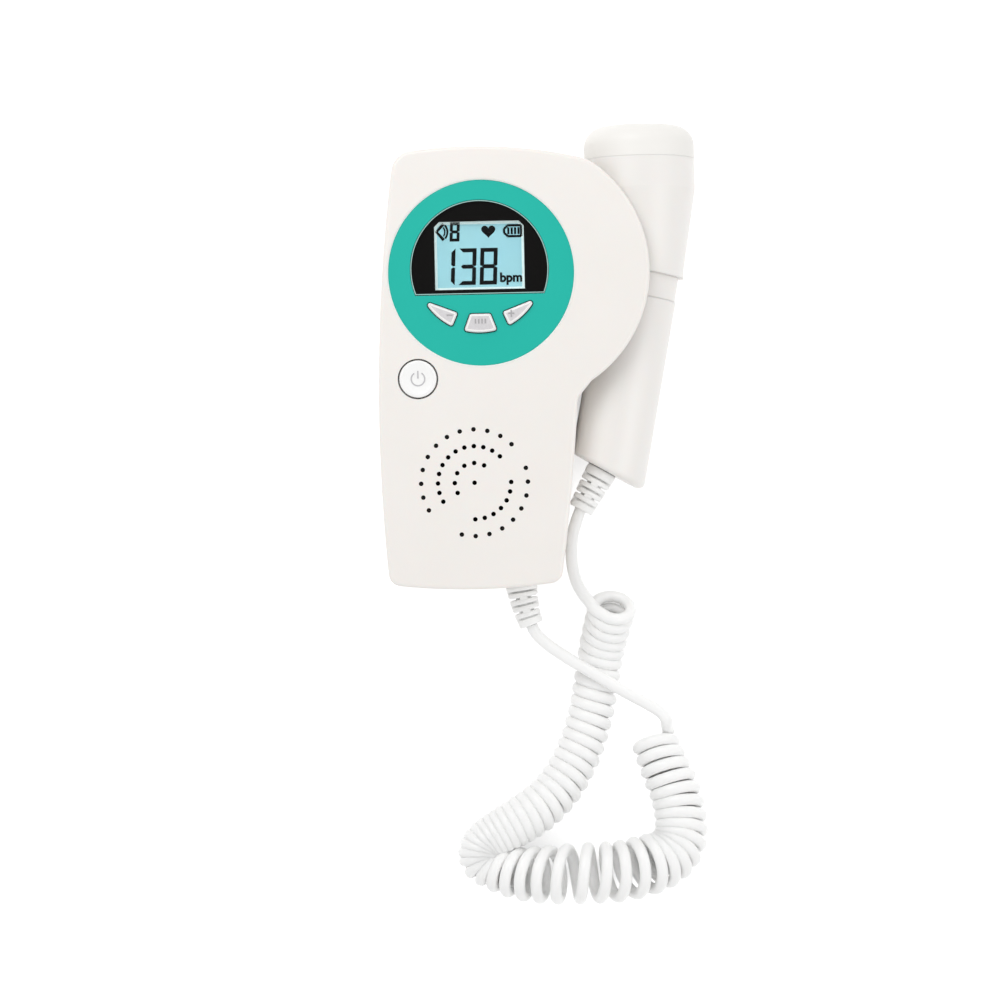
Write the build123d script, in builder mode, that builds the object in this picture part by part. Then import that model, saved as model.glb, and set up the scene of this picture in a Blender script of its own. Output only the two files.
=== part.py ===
from build123d import *
import math
import os

# Fetal doppler monitor: a flat hand-held case with a round display, three keys, a power button and a
# loudspeaker, and an ultrasound probe on a curly cord that rests in a channel along the case's side.
# The case lies on its flat back: +Z points out of the front face, +Y to the top of the case and +X to
# the probe's side. The origin is on the back, at half the case's length, under the display's centre line.

os.makedirs("parts", exist_ok=True)

# ---- clearances ----
fit = 0.15             # between pieces that are fixed together
run = 0.30             # around keys, buttons and the probe
press_gap = 0.05       # left between a pressed button's stem and its switch

# ---- case ----
case_length = 134.6
front_z = 38.0         # front face above the back
split_z = 20.0         # parting line between the two shells
wall = 2.0
floor_t = 2.2
front_plate = 3.8      # thick front wall that carries the face plate
back_round = 4.0
front_round = 1.2
seam = 0.35            # chamfer on each side of the parting line
top_y = case_length / 2
bottom_y = -case_length / 2
inside_z = front_z - front_plate

left_top_x = -26.0     # corners and crowns of the outline, seen from the front
left_mid_x = -31.7
left_bottom_x = -29.7
right_top_x = 29.6
right_mid_x = 28.6
right_low_x = 26.3
right_bottom_x = 22.6
corner_drop = 1.8      # corners lie this far inside the crowned top and bottom edges
crown_x = -3.0         # lowest point of the bottom edge
shoulder_drop = 38.6   # where the canopy's skirt meets the right-hand edge, below the face plate's centre
low_drop = 26.2        # middle of the waisted right-hand edge, below the shoulder
corner_round = 7.0
foot_round = 4.0

# ---- canopy: the round part of the front shell that overhangs the probe ----
ring_drop = 38.5       # face plate's centre below the top of the case
ring_y = top_y - ring_drop
shoulder_y = ring_y - shoulder_drop
low_y = shoulder_y - low_drop
canopy_x = 11.0
canopy_up = 0.3        # above the face plate's centre
canopy_y = ring_y + canopy_up
canopy_r = 40.2
canopy_top_angle = 57.0
canopy_low_angle = -57.0
canopy_blend = 14.0
canopy_bevel = 1.0     # around the canopy's lower edge

# ---- face plate, window and display ----
ring_r = 28.35
ring_t = 1.8
ring_sink = 0.4        # face plate's top below the front face
window_x = -0.5
window_up = 1.1
window_y = ring_y + window_up
window_r = 20.95
chord_drop = 7.6       # flat lower edge of the window below its centre
window_t = 1.4
mask_t = 0.3
view_x = -0.4
view_up = 5.35         # display's centre above the face plate's
view_y = ring_y + view_up
view_width = 27.2
view_height = 20.7
view_chamfer = 1.5
glass_border = 2.4
glass_t = 2.2
backlight_t = 2.8
frame_wall = 1.6
seat_z = front_z - ring_sink - ring_t

# ---- keys and power button ----
key_ring_r = 19.3
key_corner = 0.7
side_key_start = 209.0
side_key_end = 243.5
side_key_inner = (6.8, 13.2)
middle_key_half_angle = 15.0
middle_key_top = (3.1, 13.6)
key_proud = 1.0        # above the face plate
key_travel = 0.8
lip = 0.9              # flange that keeps a key or button in
lip_t = 1.3
key_stem_r = 1.7
key_stem = 3.2
power_x = -19.8
power_drop = 31.9      # below the face plate's centre
power_y = ring_y - power_drop
power_d = 11.3
power_gap = 0.5
power_proud = 0.4
power_dish_d = 9.4
power_dish = 0.45
power_stem = 2.8

# ---- board ----
board_depth = 12.4     # board's top below the front face
board_t = 1.6
board_width = 46.0
board_down = 13.4      # board's edge below the top of the case
board_below = 9.8      # and its other edge below the power button
board_top_y = top_y - board_down
board_bottom_y = power_y - board_below
board_z = front_z - board_depth
post_r = 2.2
post_hole_r = 0.8
post_inset = 3.4
post_aside = 10.3      # the fourth post stands beside the power switch
pad_t = 1.2
dome_r = 2.3
switch_size = 6.0

# ---- loudspeaker and its grille ----
speaker_x = -3.3
speaker_shift = 0.3    # centre above the middle between the power button and the bottom edge
speaker_y = (power_y + bottom_y) / 2 + speaker_shift
speaker_r = 18.4
speaker_wall = 2.0     # thin front wall over the loudspeaker
speaker_depth = 6.6
speaker_sheet = 1.2
magnet_r = 9.0
magnet_t = 4.6
fence_t = 1.5
fence_depth = 4.0
hole_d = 1.4
hole_step = 15.0
outer_hole_r = 16.2
middle_hole_r = 11.1
inner_hole_r = 6.0

# ---- battery bay ----
battery_x = -4.2
battery_width = 26.5
battery_length = 46.0
battery_t = 17.5
terminal_h = 2.4
battery_up = 9.6       # battery's end above the bottom edge
battery_y = bottom_y + battery_up
snap_t = 4.5
bay_wall = 2.4
door_lap = 0.2         # the door is this much wider than the bay's mouth on each side
door_t = 2.0
tongue = 1.0
tongue_z = 1.1
bay_half = battery_width / 2 + run
bay_end_y = battery_y + battery_length + snap_t + terminal_h
door_half = bay_half + door_lap / 2
door_top_y = bay_end_y

# ---- case screws ----
screw_r = 1.4
screw_head_r = 2.7
screw_head_t = 2.0
screw_grip = 6.0       # shell left under the screw's head
screw_bite = 9.0
boss_r = 4.4
top_left_in = 6.6      # screws inside the corners of the outline
top_left_down = 8.0
top_right_in = 8.0
top_right_down = 8.6
bottom_left_in = 6.4
bottom_right_in = 6.2
bottom_screw_up = 10.6
screw_places = [
    (left_top_x + top_left_in, top_y - top_left_down),
    (right_top_x - top_right_in, top_y - top_right_down),
    (left_bottom_x + bottom_left_in, bottom_y + bottom_screw_up),
    (right_bottom_x - bottom_right_in, bottom_y + bottom_screw_up),
]

# ---- probe: a head on a handle that leans away from the case's long axis ----
lean = 10.8            # degrees
head_r = 17.05
neck_r = 12.95
probe_lift = 0.4       # head's lowest line above the surface
probe_z = head_r + probe_lift
probe_x = 49.6         # where the head's and the handle's axes meet
probe_up = 0.4         # that point above the face plate's centre
probe_y = ring_y + probe_up
taper_length = 25.3
head_length = 34.8
cap_length = 10.2
cap_round = 6.1
shell = 1.9
spigot = 4.0
collar_r = 11.6
collar_length = 7.6
handle_r = 11.95
handle_end = 62.8      # from the head's seam to the slanted foot, along the handle's axis
foot_slant = 30.0      # degrees between the foot's normal and the case's long axis
foot_edge_round = 2.0
crystal_t = 1.6
crystal_gap = 1.0
backing_t = 9.0
probe_board_t = 1.2
probe_board_length = 38.0
cradle_top = 9.0
cradle_start = 9.0     # along the handle from the head's seam
cradle_length = 29.0
cradle_reach = 6.5     # past the handle's axis
cradle_round = 3.0

# ---- strain reliefs and the curly cord ----
cord_d = 3.4
coil_d = 17.0
relief_base_d = 9.6
relief_tip_d = 7.8
relief_flange_t = 1.2
relief_lip = 1.0
case_relief_length = 11.7
case_relief_x = 10.4
probe_relief_length = 13.4
probe_relief_shift = 1.9
slot_t = 0.8
slot_pitch = 1.9
slot_spine = 3.0

SLIDE = Vector(math.sin(math.radians(lean)), math.cos(math.radians(lean)), 0)
FOOT = Vector(-math.sin(math.radians(foot_slant)), -math.cos(math.radians(foot_slant)), 0)
MIN = (Align.CENTER, Align.CENTER, Align.MIN)
MAX = (Align.CENTER, Align.CENTER, Align.MAX)


def save(node, name):
    """Label a finished piece and write it to its own file."""
    node.part.label = name
    export_step(node.part, f"parts/{name}.step")


# ---- outlines of the case ----

bottom_left = (left_bottom_x, bottom_y + corner_drop)
top_left = (left_top_x, top_y - corner_drop)
shoulder = (right_mid_x, shoulder_y)
bottom_right = (right_bottom_x, bottom_y + corner_drop)


def round_corner(face, point, radius):
    """Round the corner of the open sketch that lies nearest to the point."""
    fillet(face.vertices().sort_by_distance(point)[0], radius)


def column_face(inset):
    """Outline of the case below the canopy, brought in on every side by the inset."""
    corners = [
        (left_bottom_x + inset, bottom_y + corner_drop + inset),
        (left_top_x + inset, top_y - corner_drop - inset),
        (right_top_x - inset, top_y - 2 * corner_drop - inset),
        (right_mid_x - inset, shoulder_y),
        (right_bottom_x - inset, bottom_y + corner_drop + inset),
    ]
    with BuildSketch() as face:
        with BuildLine():
            ThreePointArc(corners[0], (left_mid_x + inset, 0), corners[1])
            ThreePointArc(corners[1], (0, top_y - inset), corners[2])
            Line(corners[2], corners[3])
            ThreePointArc(corners[3], (right_low_x - inset, low_y), corners[4])
            ThreePointArc(corners[4], (crown_x, bottom_y + inset), corners[0])
        make_face()
        for corner in (corners[1], corners[2]):
            round_corner(face, corner, corner_round - inset)
        for corner in (corners[0], corners[4]):
            round_corner(face, corner, foot_round - inset)
    return face.sketch


with BuildSketch() as front_face:
    with BuildLine():
        canopy_arc = CenterArc(
            (canopy_x, canopy_y), canopy_r, canopy_low_angle, canopy_top_angle - canopy_low_angle
        )
        ThreePointArc(bottom_left, (left_mid_x, 0), top_left)
        ThreePointArc(top_left, (0, top_y), canopy_arc @ 1)
        Line(canopy_arc @ 0, shoulder)
        ThreePointArc(shoulder, (right_low_x, low_y), bottom_right)
        ThreePointArc(bottom_right, (crown_x, bottom_y), bottom_left)
    make_face()
    round_corner(front_face, top_left, corner_round)
    round_corner(front_face, canopy_arc @ 1, canopy_blend)
    round_corner(front_face, shoulder, foot_round)
    round_corner(front_face, canopy_arc @ 0, foot_round)
    for corner in (bottom_left, bottom_right):
        round_corner(front_face, corner, foot_round)

# ---- outlines of the window, the display and the keys ----

with BuildSketch() as window_face:
    with Locations((window_x, window_y)):
        Circle(window_r)
    with Locations((window_x, window_y - chord_drop)):
        Rectangle(2 * window_r, window_r, align=(Align.CENTER, Align.MAX), mode=Mode.SUBTRACT)

with BuildSketch() as view_face:
    with Locations((view_x, view_y)):
        Rectangle(view_width, view_height)
    chamfer(view_face.vertices().group_by(Axis.Y)[-1], view_chamfer)


def key_face(start, end, *inner):
    """Face between an arc of the key circle and the inner corners, which are given from the window."""
    with BuildSketch() as face:
        with BuildLine():
            rim = CenterArc((window_x, window_y), key_ring_r, start, end - start)
            Polyline(rim @ 1, *[(window_x + x, window_y - y) for x, y in inner], rim @ 0)
        make_face()
        fillet(face.vertices(), key_corner)
    return face.sketch


side_x, side_y = side_key_inner
top_x, top_drop = middle_key_top
key_faces = {
    "key_left": key_face(side_key_start, side_key_end, (-side_x, side_y)),
    "key_middle": key_face(
        270 - middle_key_half_angle, 270 + middle_key_half_angle, (top_x, top_drop), (-top_x, top_drop)
    ),
    "key_right": key_face(540 - side_key_end, 540 - side_key_start, (side_x, side_y)),
}

# ---- planes and axes of the probe and of the cord's exits ----

probe_joint = Vector(probe_x, probe_y, probe_z)
handle_plane = Plane(origin=probe_joint, x_dir=(0, 0, 1), z_dir=-SLIDE)
foot_centre = probe_joint - SLIDE * handle_end
foot_plane = Plane(origin=foot_centre, x_dir=(0, 0, 1), z_dir=FOOT)
relief_along = Vector(-math.cos(math.radians(foot_slant)), math.sin(math.radians(foot_slant)), 0)
probe_exit = Plane(origin=foot_centre + relief_along * probe_relief_shift, x_dir=(0, 0, 1), z_dir=FOOT)
case_exit = Plane(
    origin=(case_relief_x, bottom_y + corner_drop / 4, split_z),
    x_dir=(0, 0, 1),
    z_dir=(SLIDE.X, -SLIDE.Y, 0),
)


def relief_hole(plane):
    """Hole along a strain relief, wide enough for its neck."""
    with BuildPart(plane) as hole:
        Cylinder(relief_base_d / 2 + fit, 8 * wall)
    return hole.part


# ---- front shell ----

with BuildPart() as front_case:
    with BuildSketch(Plane.XY.offset(split_z)):
        add(column_face(0))
    extrude(amount=front_z - split_z)
    with BuildSketch(Plane.XY.offset(inside_z + canopy_bevel)):
        add(front_face.sketch)
    extrude(amount=front_plate - canopy_bevel)
    with BuildSketch(Plane.XY.offset(inside_z + canopy_bevel)):
        add(front_face.sketch)
    extrude(amount=-canopy_bevel, taper=45)
    fillet(front_case.faces().sort_by(Axis.Z)[-1].outer_wire().edges(), front_round)
    chamfer(front_case.faces().sort_by(Axis.Z)[0].outer_wire().edges(), seam)
    with BuildSketch(Plane.XY.offset(split_z)):
        add(column_face(wall))
    extrude(amount=inside_z - split_z, mode=Mode.SUBTRACT)
    # bosses for the case screws and posts for the board
    with BuildSketch(Plane.XY.offset(split_z)):
        with Locations(*screw_places):
            Circle(boss_r)
    extrude(amount=inside_z - split_z)
    post_places = [
        (board_width / 2 - post_inset, board_top_y - post_inset),
        (-board_width / 2 + post_inset, board_top_y - post_inset),
        (board_width / 2 - post_inset, board_bottom_y + post_inset),
        (power_x + post_aside, board_bottom_y + post_inset),
    ]
    with BuildSketch(Plane.XY.offset(board_z)):
        with Locations(*post_places):
            Circle(post_r)
    extrude(amount=inside_z - board_z)
    # fence around the loudspeaker, and its seat in a thinner stretch of the front wall
    with BuildSketch(Plane.XY.offset(inside_z - fence_depth)):
        with Locations((speaker_x, speaker_y)):
            Circle(speaker_r + fit + fence_t)
    extrude(amount=fence_depth)
    with BuildSketch(Plane.XY.offset(inside_z - fence_depth)):
        with Locations((speaker_x, speaker_y)):
            Circle(speaker_r + fit)
    extrude(amount=fence_depth + front_plate - speaker_wall, mode=Mode.SUBTRACT)
    # screw and post holes
    with BuildSketch(Plane.XY.offset(split_z)):
        with Locations(*screw_places):
            Circle(screw_r)
    extrude(amount=screw_bite + wall / 2, mode=Mode.SUBTRACT)
    with BuildSketch(Plane.XY.offset(board_z)):
        with Locations(*post_places):
            Circle(post_hole_r)
    extrude(amount=inside_z - board_z - wall, mode=Mode.SUBTRACT)
    # pocket of the face plate, display opening and key openings
    with BuildSketch(Plane.XY.offset(seat_z)):
        with Locations((0, ring_y)):
            Circle(ring_r + fit)
    extrude(amount=front_z - seat_z, mode=Mode.SUBTRACT)
    with BuildSketch(Plane.XY.offset(inside_z)):
        add(view_face.sketch)
        for face in key_faces.values():
            with BuildSketch(mode=Mode.PRIVATE) as opening:
                add(face)
                offset(amount=run)
            add(opening.sketch)
        with Locations((power_x, power_y)):
            Circle(power_d / 2 + power_gap)
    extrude(amount=front_plate, mode=Mode.SUBTRACT)
    # loudspeaker holes: three broken rings around one hole
    with BuildSketch(Plane.XY.offset(front_z - speaker_wall)):
        with Locations((speaker_x, speaker_y)):
            Circle(hole_d / 2)
            with PolarLocations(outer_hole_r, 12, 45, 12 * hole_step):
                Circle(hole_d / 2)
            with PolarLocations(outer_hole_r, 9, -105, 9 * hole_step):
                Circle(hole_d / 2)
            with PolarLocations(middle_hole_r, 12, 45, 12 * hole_step):
                Circle(hole_d / 2)
            with PolarLocations(middle_hole_r, 7, -90, 7 * hole_step):
                Circle(hole_d / 2)
            with PolarLocations(inner_hole_r, 6, 60, 12 * hole_step):
                Circle(hole_d / 2)
    extrude(amount=speaker_wall, mode=Mode.SUBTRACT)
    add(relief_hole(case_exit), mode=Mode.SUBTRACT)

save(front_case, "front_case")

# ---- rear shell: the outer form that it shares with the battery door, then the shell itself ----

with BuildPart() as rear_form:
    with BuildSketch():
        add(column_face(0))
    extrude(amount=split_z)
    fillet(rear_form.faces().sort_by(Axis.Z)[0].outer_wire().edges(), back_round)

with BuildPart() as handle_way:
    with BuildSketch(handle_plane):
        Circle(handle_r + run)
    extrude(amount=handle_end)

cradle_centre = probe_joint - SLIDE * (cradle_start + cradle_length / 2)
cradle_plane = Plane(origin=(cradle_centre.X, cradle_centre.Y, 0), x_dir=(SLIDE.Y, -SLIDE.X, 0))
cradle_width = probe_x - right_mid_x + wall

with BuildPart() as rear_case:
    add(rear_form.part)
    chamfer(rear_case.faces().sort_by(Axis.Z)[-1].outer_wire().edges(), seam)
    with BuildSketch(cradle_plane):
        with Locations((cradle_reach, 0)):
            Rectangle(cradle_width, cradle_length, align=(Align.MAX, Align.CENTER))
    extrude(amount=cradle_top)
    fillet(rear_case.edges().filter_by(Axis.Z).sort_by(Axis.X)[-2:], cradle_round)
    with BuildSketch(Plane.XY.offset(floor_t)):
        add(column_face(wall))
    extrude(amount=split_z - floor_t, mode=Mode.SUBTRACT)
    add(handle_way.part, mode=Mode.SUBTRACT)
    # bay walls around the battery and its snap
    bay_middle = (battery_y + bay_end_y) / 2
    bay_height = split_z - floor_t - seam
    with BuildSketch(Plane.XY.offset(floor_t)):
        with Locations((battery_x, bay_middle)):
            Rectangle(2 * (bay_half + bay_wall), bay_end_y - battery_y + 2 * (run + bay_wall))
            Rectangle(2 * bay_half, bay_end_y - battery_y + 2 * run, mode=Mode.SUBTRACT)
    extrude(amount=bay_height)
    # bosses, with a deep recess for each screw's head
    with BuildSketch(Plane.XY.offset(floor_t)):
        with Locations(*screw_places):
            Circle(boss_r)
    extrude(amount=split_z - floor_t)
    with BuildSketch():
        with Locations(*screw_places):
            Circle(screw_head_r + fit)
    extrude(amount=split_z - screw_grip, mode=Mode.SUBTRACT)
    with BuildSketch():
        with Locations(*screw_places):
            Circle(screw_r + fit)
    extrude(amount=split_z, mode=Mode.SUBTRACT)
    # mouth of the bay, open at the bottom end, with a groove on each side for the door's tongues
    with BuildSketch():
        with Locations((battery_x, door_top_y + fit)):
            Rectangle(2 * (door_half + fit), case_length, align=(Align.CENTER, Align.MAX))
    extrude(amount=floor_t, mode=Mode.SUBTRACT)
    with BuildSketch(Plane.XY.offset(tongue_z - fit / 2)):
        with Locations((battery_x, door_top_y + fit)):
            Rectangle(2 * (door_half + tongue + fit), case_length, align=(Align.CENTER, Align.MAX))
    extrude(amount=floor_t - tongue_z + fit / 2, mode=Mode.SUBTRACT)
    add(relief_hole(case_exit), mode=Mode.SUBTRACT)

save(rear_case, "rear_case")

ridge_count = 6
ridge_pitch = 2.2
ridge_depth = 0.5
ridge_length = 14.0
ridge_up = 9.0

with BuildPart() as battery_door:
    with BuildSketch():
        with Locations((battery_x, door_top_y)):
            Rectangle(2 * door_half, door_top_y - bottom_y, align=(Align.CENTER, Align.MAX))
    extrude(amount=door_t)
    with BuildSketch(Plane.XY.offset(tongue_z)):
        with Locations((battery_x, door_top_y)):
            Rectangle(2 * (door_half + tongue), door_top_y - bottom_y, align=(Align.CENTER, Align.MAX))
    extrude(amount=door_t - tongue_z)
    add(rear_form.part, mode=Mode.INTERSECT)
    with BuildSketch():
        with Locations((battery_x, bottom_y + ridge_up + ridge_count * ridge_pitch / 2)):
            with GridLocations(0, ridge_pitch, 1, ridge_count):
                SlotOverall(ridge_length, ridge_pitch / 2)
    extrude(amount=ridge_depth, mode=Mode.SUBTRACT)

save(battery_door, "battery_door")

with BuildPart() as case_screws:
    with BuildSketch(Plane.XY.offset(split_z - screw_grip - screw_head_t)):
        with Locations(*screw_places):
            Circle(screw_head_r)
    extrude(amount=screw_head_t)
    fillet(case_screws.edges().group_by(Axis.Z)[0], screw_head_t / 3)
    with BuildSketch(Plane.XY.offset(split_z - screw_grip)):
        with Locations(*screw_places):
            Circle(screw_r - press_gap)
    extrude(amount=screw_grip + screw_bite)
    with BuildSketch(Plane.XY.offset(split_z - screw_grip - screw_head_t)):
        with Locations(*screw_places):
            Rectangle(screw_head_r, screw_head_t / 4)
            Rectangle(screw_head_t / 4, screw_head_r)
    extrude(amount=screw_head_t / 2, mode=Mode.SUBTRACT)

save(case_screws, "case_screws")

# ---- face plate, window and display ----

with BuildPart() as face_ring:
    with BuildSketch(Plane.XY.offset(seat_z)):
        with Locations((0, ring_y)):
            Circle(ring_r)
        with BuildSketch(mode=Mode.PRIVATE) as window_hole:
            add(window_face.sketch)
            offset(amount=fit)
        add(window_hole.sketch, mode=Mode.SUBTRACT)
        for face in key_faces.values():
            with BuildSketch(mode=Mode.PRIVATE) as opening:
                add(face)
                offset(amount=run)
            add(opening.sketch, mode=Mode.SUBTRACT)
    extrude(amount=ring_t)
    fillet(face_ring.faces().sort_by(Axis.Z)[-1].outer_wire().edges(), ring_t / 4)

save(face_ring, "face_ring")

with BuildPart() as window_mask:
    with BuildSketch(Plane.XY.offset(seat_z)):
        add(window_face.sketch)
        add(view_face.sketch, mode=Mode.SUBTRACT)
    extrude(amount=mask_t)

save(window_mask, "window_mask")

with BuildPart() as display_window:
    with BuildSketch(Plane.XY.offset(seat_z + mask_t)):
        add(window_face.sketch)
    extrude(amount=window_t)

save(display_window, "display_window")

glass_width = view_width + 2 * glass_border
glass_height = view_height + 2 * glass_border
glass_z = inside_z - glass_t
backlight_z = glass_z - backlight_t

with BuildPart() as lcd_glass:
    with BuildSketch(Plane.XY.offset(glass_z)):
        with Locations((view_x, view_y)):
            Rectangle(glass_width, glass_height)
    extrude(amount=glass_t)

save(lcd_glass, "lcd_glass")

with BuildPart() as lcd_frame:
    with BuildSketch(Plane.XY.offset(board_z)):
        with Locations((view_x, view_y)):
            Rectangle(glass_width, glass_height)
            Rectangle(glass_width - 4 * frame_wall, glass_height - 4 * frame_wall, mode=Mode.SUBTRACT)
    extrude(amount=glass_z - board_z)
    with BuildSketch(Plane.XY.offset(backlight_z)):
        with Locations((view_x, view_y)):
            Rectangle(glass_width - 2 * frame_wall, glass_height - 2 * frame_wall)
    extrude(amount=backlight_t, mode=Mode.SUBTRACT)

save(lcd_frame, "lcd_frame")

with BuildPart() as backlight:
    with BuildSketch(Plane.XY.offset(backlight_z)):
        with Locations((view_x, view_y)):
            Rectangle(glass_width - 2 * (frame_wall + fit), glass_height - 2 * (frame_wall + fit))
    extrude(amount=backlight_t)

save(backlight, "backlight")

# ---- keys, key pad, power button and its switch ----

key_top_z = seat_z + ring_t + key_proud
flange_z = inside_z - press_gap - lip_t
key_stem_z = flange_z - key_stem
dome_z = key_stem_z - key_travel - press_gap
key_centres = {name: face.faces()[0].center() for name, face in key_faces.items()}

for key_name, face in key_faces.items():
    centre = key_centres[key_name]
    with BuildPart() as key:
        with BuildSketch(Plane.XY.offset(flange_z)):
            add(face)
        extrude(amount=key_top_z - flange_z)
        fillet(key.faces().sort_by(Axis.Z)[-1].edges(), key_corner / 2)
        with BuildSketch(Plane.XY.offset(flange_z)):
            add(face)
            offset(amount=lip)
        extrude(amount=lip_t)
        with BuildSketch(Plane.XY.offset(key_stem_z)):
            with Locations((centre.X, centre.Y)):
                Circle(key_stem_r)
        extrude(amount=key_stem)
    save(key, key_name)

pad_top_y = view_y - glass_height / 2 - fit
pad_bottom_y = window_y - key_ring_r - lip
pad_width = 2 * key_ring_r

with BuildPart() as key_pad:
    with BuildSketch(Plane.XY.offset(board_z)) as pad_sketch:
        with Locations((window_x, pad_top_y)):
            Rectangle(pad_width, pad_top_y - pad_bottom_y, align=(Align.CENTER, Align.MAX))
        fillet(pad_sketch.vertices(), pad_t)
    extrude(amount=pad_t)
    with BuildSketch(Plane.XY.offset(board_z)):
        with Locations(*[(c.X, c.Y) for c in key_centres.values()]):
            Circle(dome_r)
    extrude(amount=dome_z - board_z)
    fillet(key_pad.edges().group_by(Axis.Z)[-1], dome_r / 4)

save(key_pad, "key_pad")

power_top_z = front_z + power_proud
power_stem_z = flange_z - power_stem

with BuildPart() as power_button:
    with BuildSketch(Plane.XY.offset(flange_z)):
        with Locations((power_x, power_y)):
            Circle(power_d / 2)
    extrude(amount=power_top_z - flange_z)
    fillet(power_button.faces().sort_by(Axis.Z)[-1].edges(), power_dish)
    with BuildSketch(Plane.XY.offset(flange_z)):
        with Locations((power_x, power_y)):
            Circle(power_d / 2 + power_gap + lip)
    extrude(amount=lip_t)
    with BuildSketch(Plane.XY.offset(power_stem_z)):
        with Locations((power_x, power_y)):
            Circle(key_stem_r)
    extrude(amount=power_stem)
    dish_r = ((power_dish_d / 2) ** 2 + power_dish**2) / (2 * power_dish)
    with Locations((power_x, power_y, power_top_z + dish_r - power_dish)):
        Sphere(dish_r, mode=Mode.SUBTRACT)

save(power_button, "power_button")

with BuildPart() as power_switch:
    with BuildSketch(Plane.XY.offset(board_z)):
        with Locations((power_x, power_y)):
            Rectangle(switch_size, switch_size)
    extrude(amount=(power_stem_z - board_z) / 2)
    with BuildSketch(Plane.XY.offset(board_z)):
        with Locations((power_x, power_y)):
            Circle(key_stem_r)
    extrude(amount=power_stem_z - key_travel - press_gap - board_z)

save(power_switch, "power_switch")

# ---- main board and its screws ----

with BuildPart() as main_board:
    with BuildSketch(Plane.XY.offset(board_z - board_t)) as board_sketch:
        with Locations((0, board_top_y)):
            Rectangle(board_width, board_top_y - board_bottom_y, align=(Align.CENTER, Align.MAX))
        fillet(board_sketch.vertices(), post_r)
        with Locations(*post_places):
            Circle(post_hole_r + fit, mode=Mode.SUBTRACT)
    extrude(amount=board_t)
    with BuildSketch(Plane.XY.offset(board_z - 2 * board_t)):
        with Locations((window_x, ring_y)):
            Rectangle(switch_size * 2, switch_size * 2)
        with Locations((window_x, ring_y - 3 * switch_size), (window_x, ring_y + 3 * switch_size)):
            Rectangle(switch_size * 3, switch_size)
    extrude(amount=board_t)

save(main_board, "main_board")

with BuildPart() as board_screws:
    with BuildSketch(Plane.XY.offset(board_z - board_t - post_hole_r)):
        with Locations(*post_places):
            Circle(2 * post_hole_r)
    extrude(amount=post_hole_r)
    with BuildSketch(Plane.XY.offset(board_z - board_t)):
        with Locations(*post_places):
            Circle(post_hole_r - press_gap)
    extrude(amount=board_t + post_inset)

save(board_screws, "board_screws")

# ---- loudspeaker, against the thin front wall ----

speaker_z = front_z - speaker_wall
basket_z = speaker_z - speaker_depth
cone_seat_r = speaker_r - 2 * speaker_sheet

with BuildPart() as speaker_frame:
    with BuildSketch(Plane.XZ):
        with BuildLine():
            Polyline(
                (magnet_r / 2, basket_z),
                (magnet_r + speaker_sheet, basket_z),
                (speaker_r, speaker_z - speaker_sheet),
                (speaker_r, speaker_z),
                (cone_seat_r, speaker_z),
                (cone_seat_r, speaker_z - speaker_sheet),
                (magnet_r, basket_z + speaker_sheet),
                (magnet_r / 2, basket_z + speaker_sheet),
                close=True,
            )
        make_face()
    revolve(axis=Axis.Z)

speaker_frame.part.position = (speaker_x, speaker_y, 0)
save(speaker_frame, "speaker_frame")

with BuildPart() as speaker_cone:
    with BuildSketch(Plane.XZ):
        with BuildLine():
            Polyline(
                (0, basket_z + speaker_sheet),
                (magnet_r / 2, basket_z + speaker_sheet),
                (cone_seat_r - fit, speaker_z - speaker_sheet),
                (cone_seat_r - fit, speaker_z - speaker_sheet / 2),
                (magnet_r / 2, basket_z + 2 * speaker_sheet),
                (0, basket_z + 3 * speaker_sheet),
                close=True,
            )
        make_face()
    revolve(axis=Axis.Z)

speaker_cone.part.position = (speaker_x, speaker_y, 0)
save(speaker_cone, "speaker_cone")

with BuildPart() as speaker_magnet:
    with BuildSketch(Plane.XY.offset(basket_z)):
        with Locations((speaker_x, speaker_y)):
            Circle(magnet_r)
    extrude(amount=-magnet_t)
    chamfer(speaker_magnet.edges().group_by(Axis.Z)[0], speaker_sheet / 2)

save(speaker_magnet, "speaker_magnet")

# ---- battery and its snap ----

battery_z = floor_t + run
terminal_gap = 12.7

with BuildPart() as battery:
    with BuildSketch(Plane.XZ.offset(-battery_y)):
        with Locations((battery_x, battery_z)):
            Rectangle(battery_width, battery_t, align=(Align.CENTER, Align.MIN))
    extrude(amount=-battery_length)
    fillet(battery.edges().filter_by(Axis.Y), door_t)
    with BuildSketch(Plane.XZ.offset(-battery_y - battery_length)):
        with Locations((battery_x, battery_z + battery_t / 2)):
            with GridLocations(terminal_gap, 0, 2, 1):
                Circle(terminal_h)
    extrude(amount=-terminal_h)

save(battery, "battery_9v")

with BuildPart() as battery_snap:
    with BuildSketch(Plane.XZ.offset(-battery_y - battery_length - press_gap)) as snap_sketch:
        with Locations((battery_x, battery_z + battery_t / 2)):
            Rectangle(battery_width - door_t, battery_t - door_t)
        fillet(snap_sketch.vertices(), door_t)
    extrude(amount=-snap_t)
    with BuildSketch(Plane.XZ.offset(-battery_y - battery_length)):
        with Locations((battery_x, battery_z + battery_t / 2)):
            with GridLocations(terminal_gap, 0, 2, 1):
                Circle(terminal_h + fit)
    extrude(amount=-terminal_h - fit, mode=Mode.SUBTRACT)

save(battery_snap, "battery_snap")

# ---- strain reliefs: tapered sleeves with slots that let them bend ----


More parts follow.
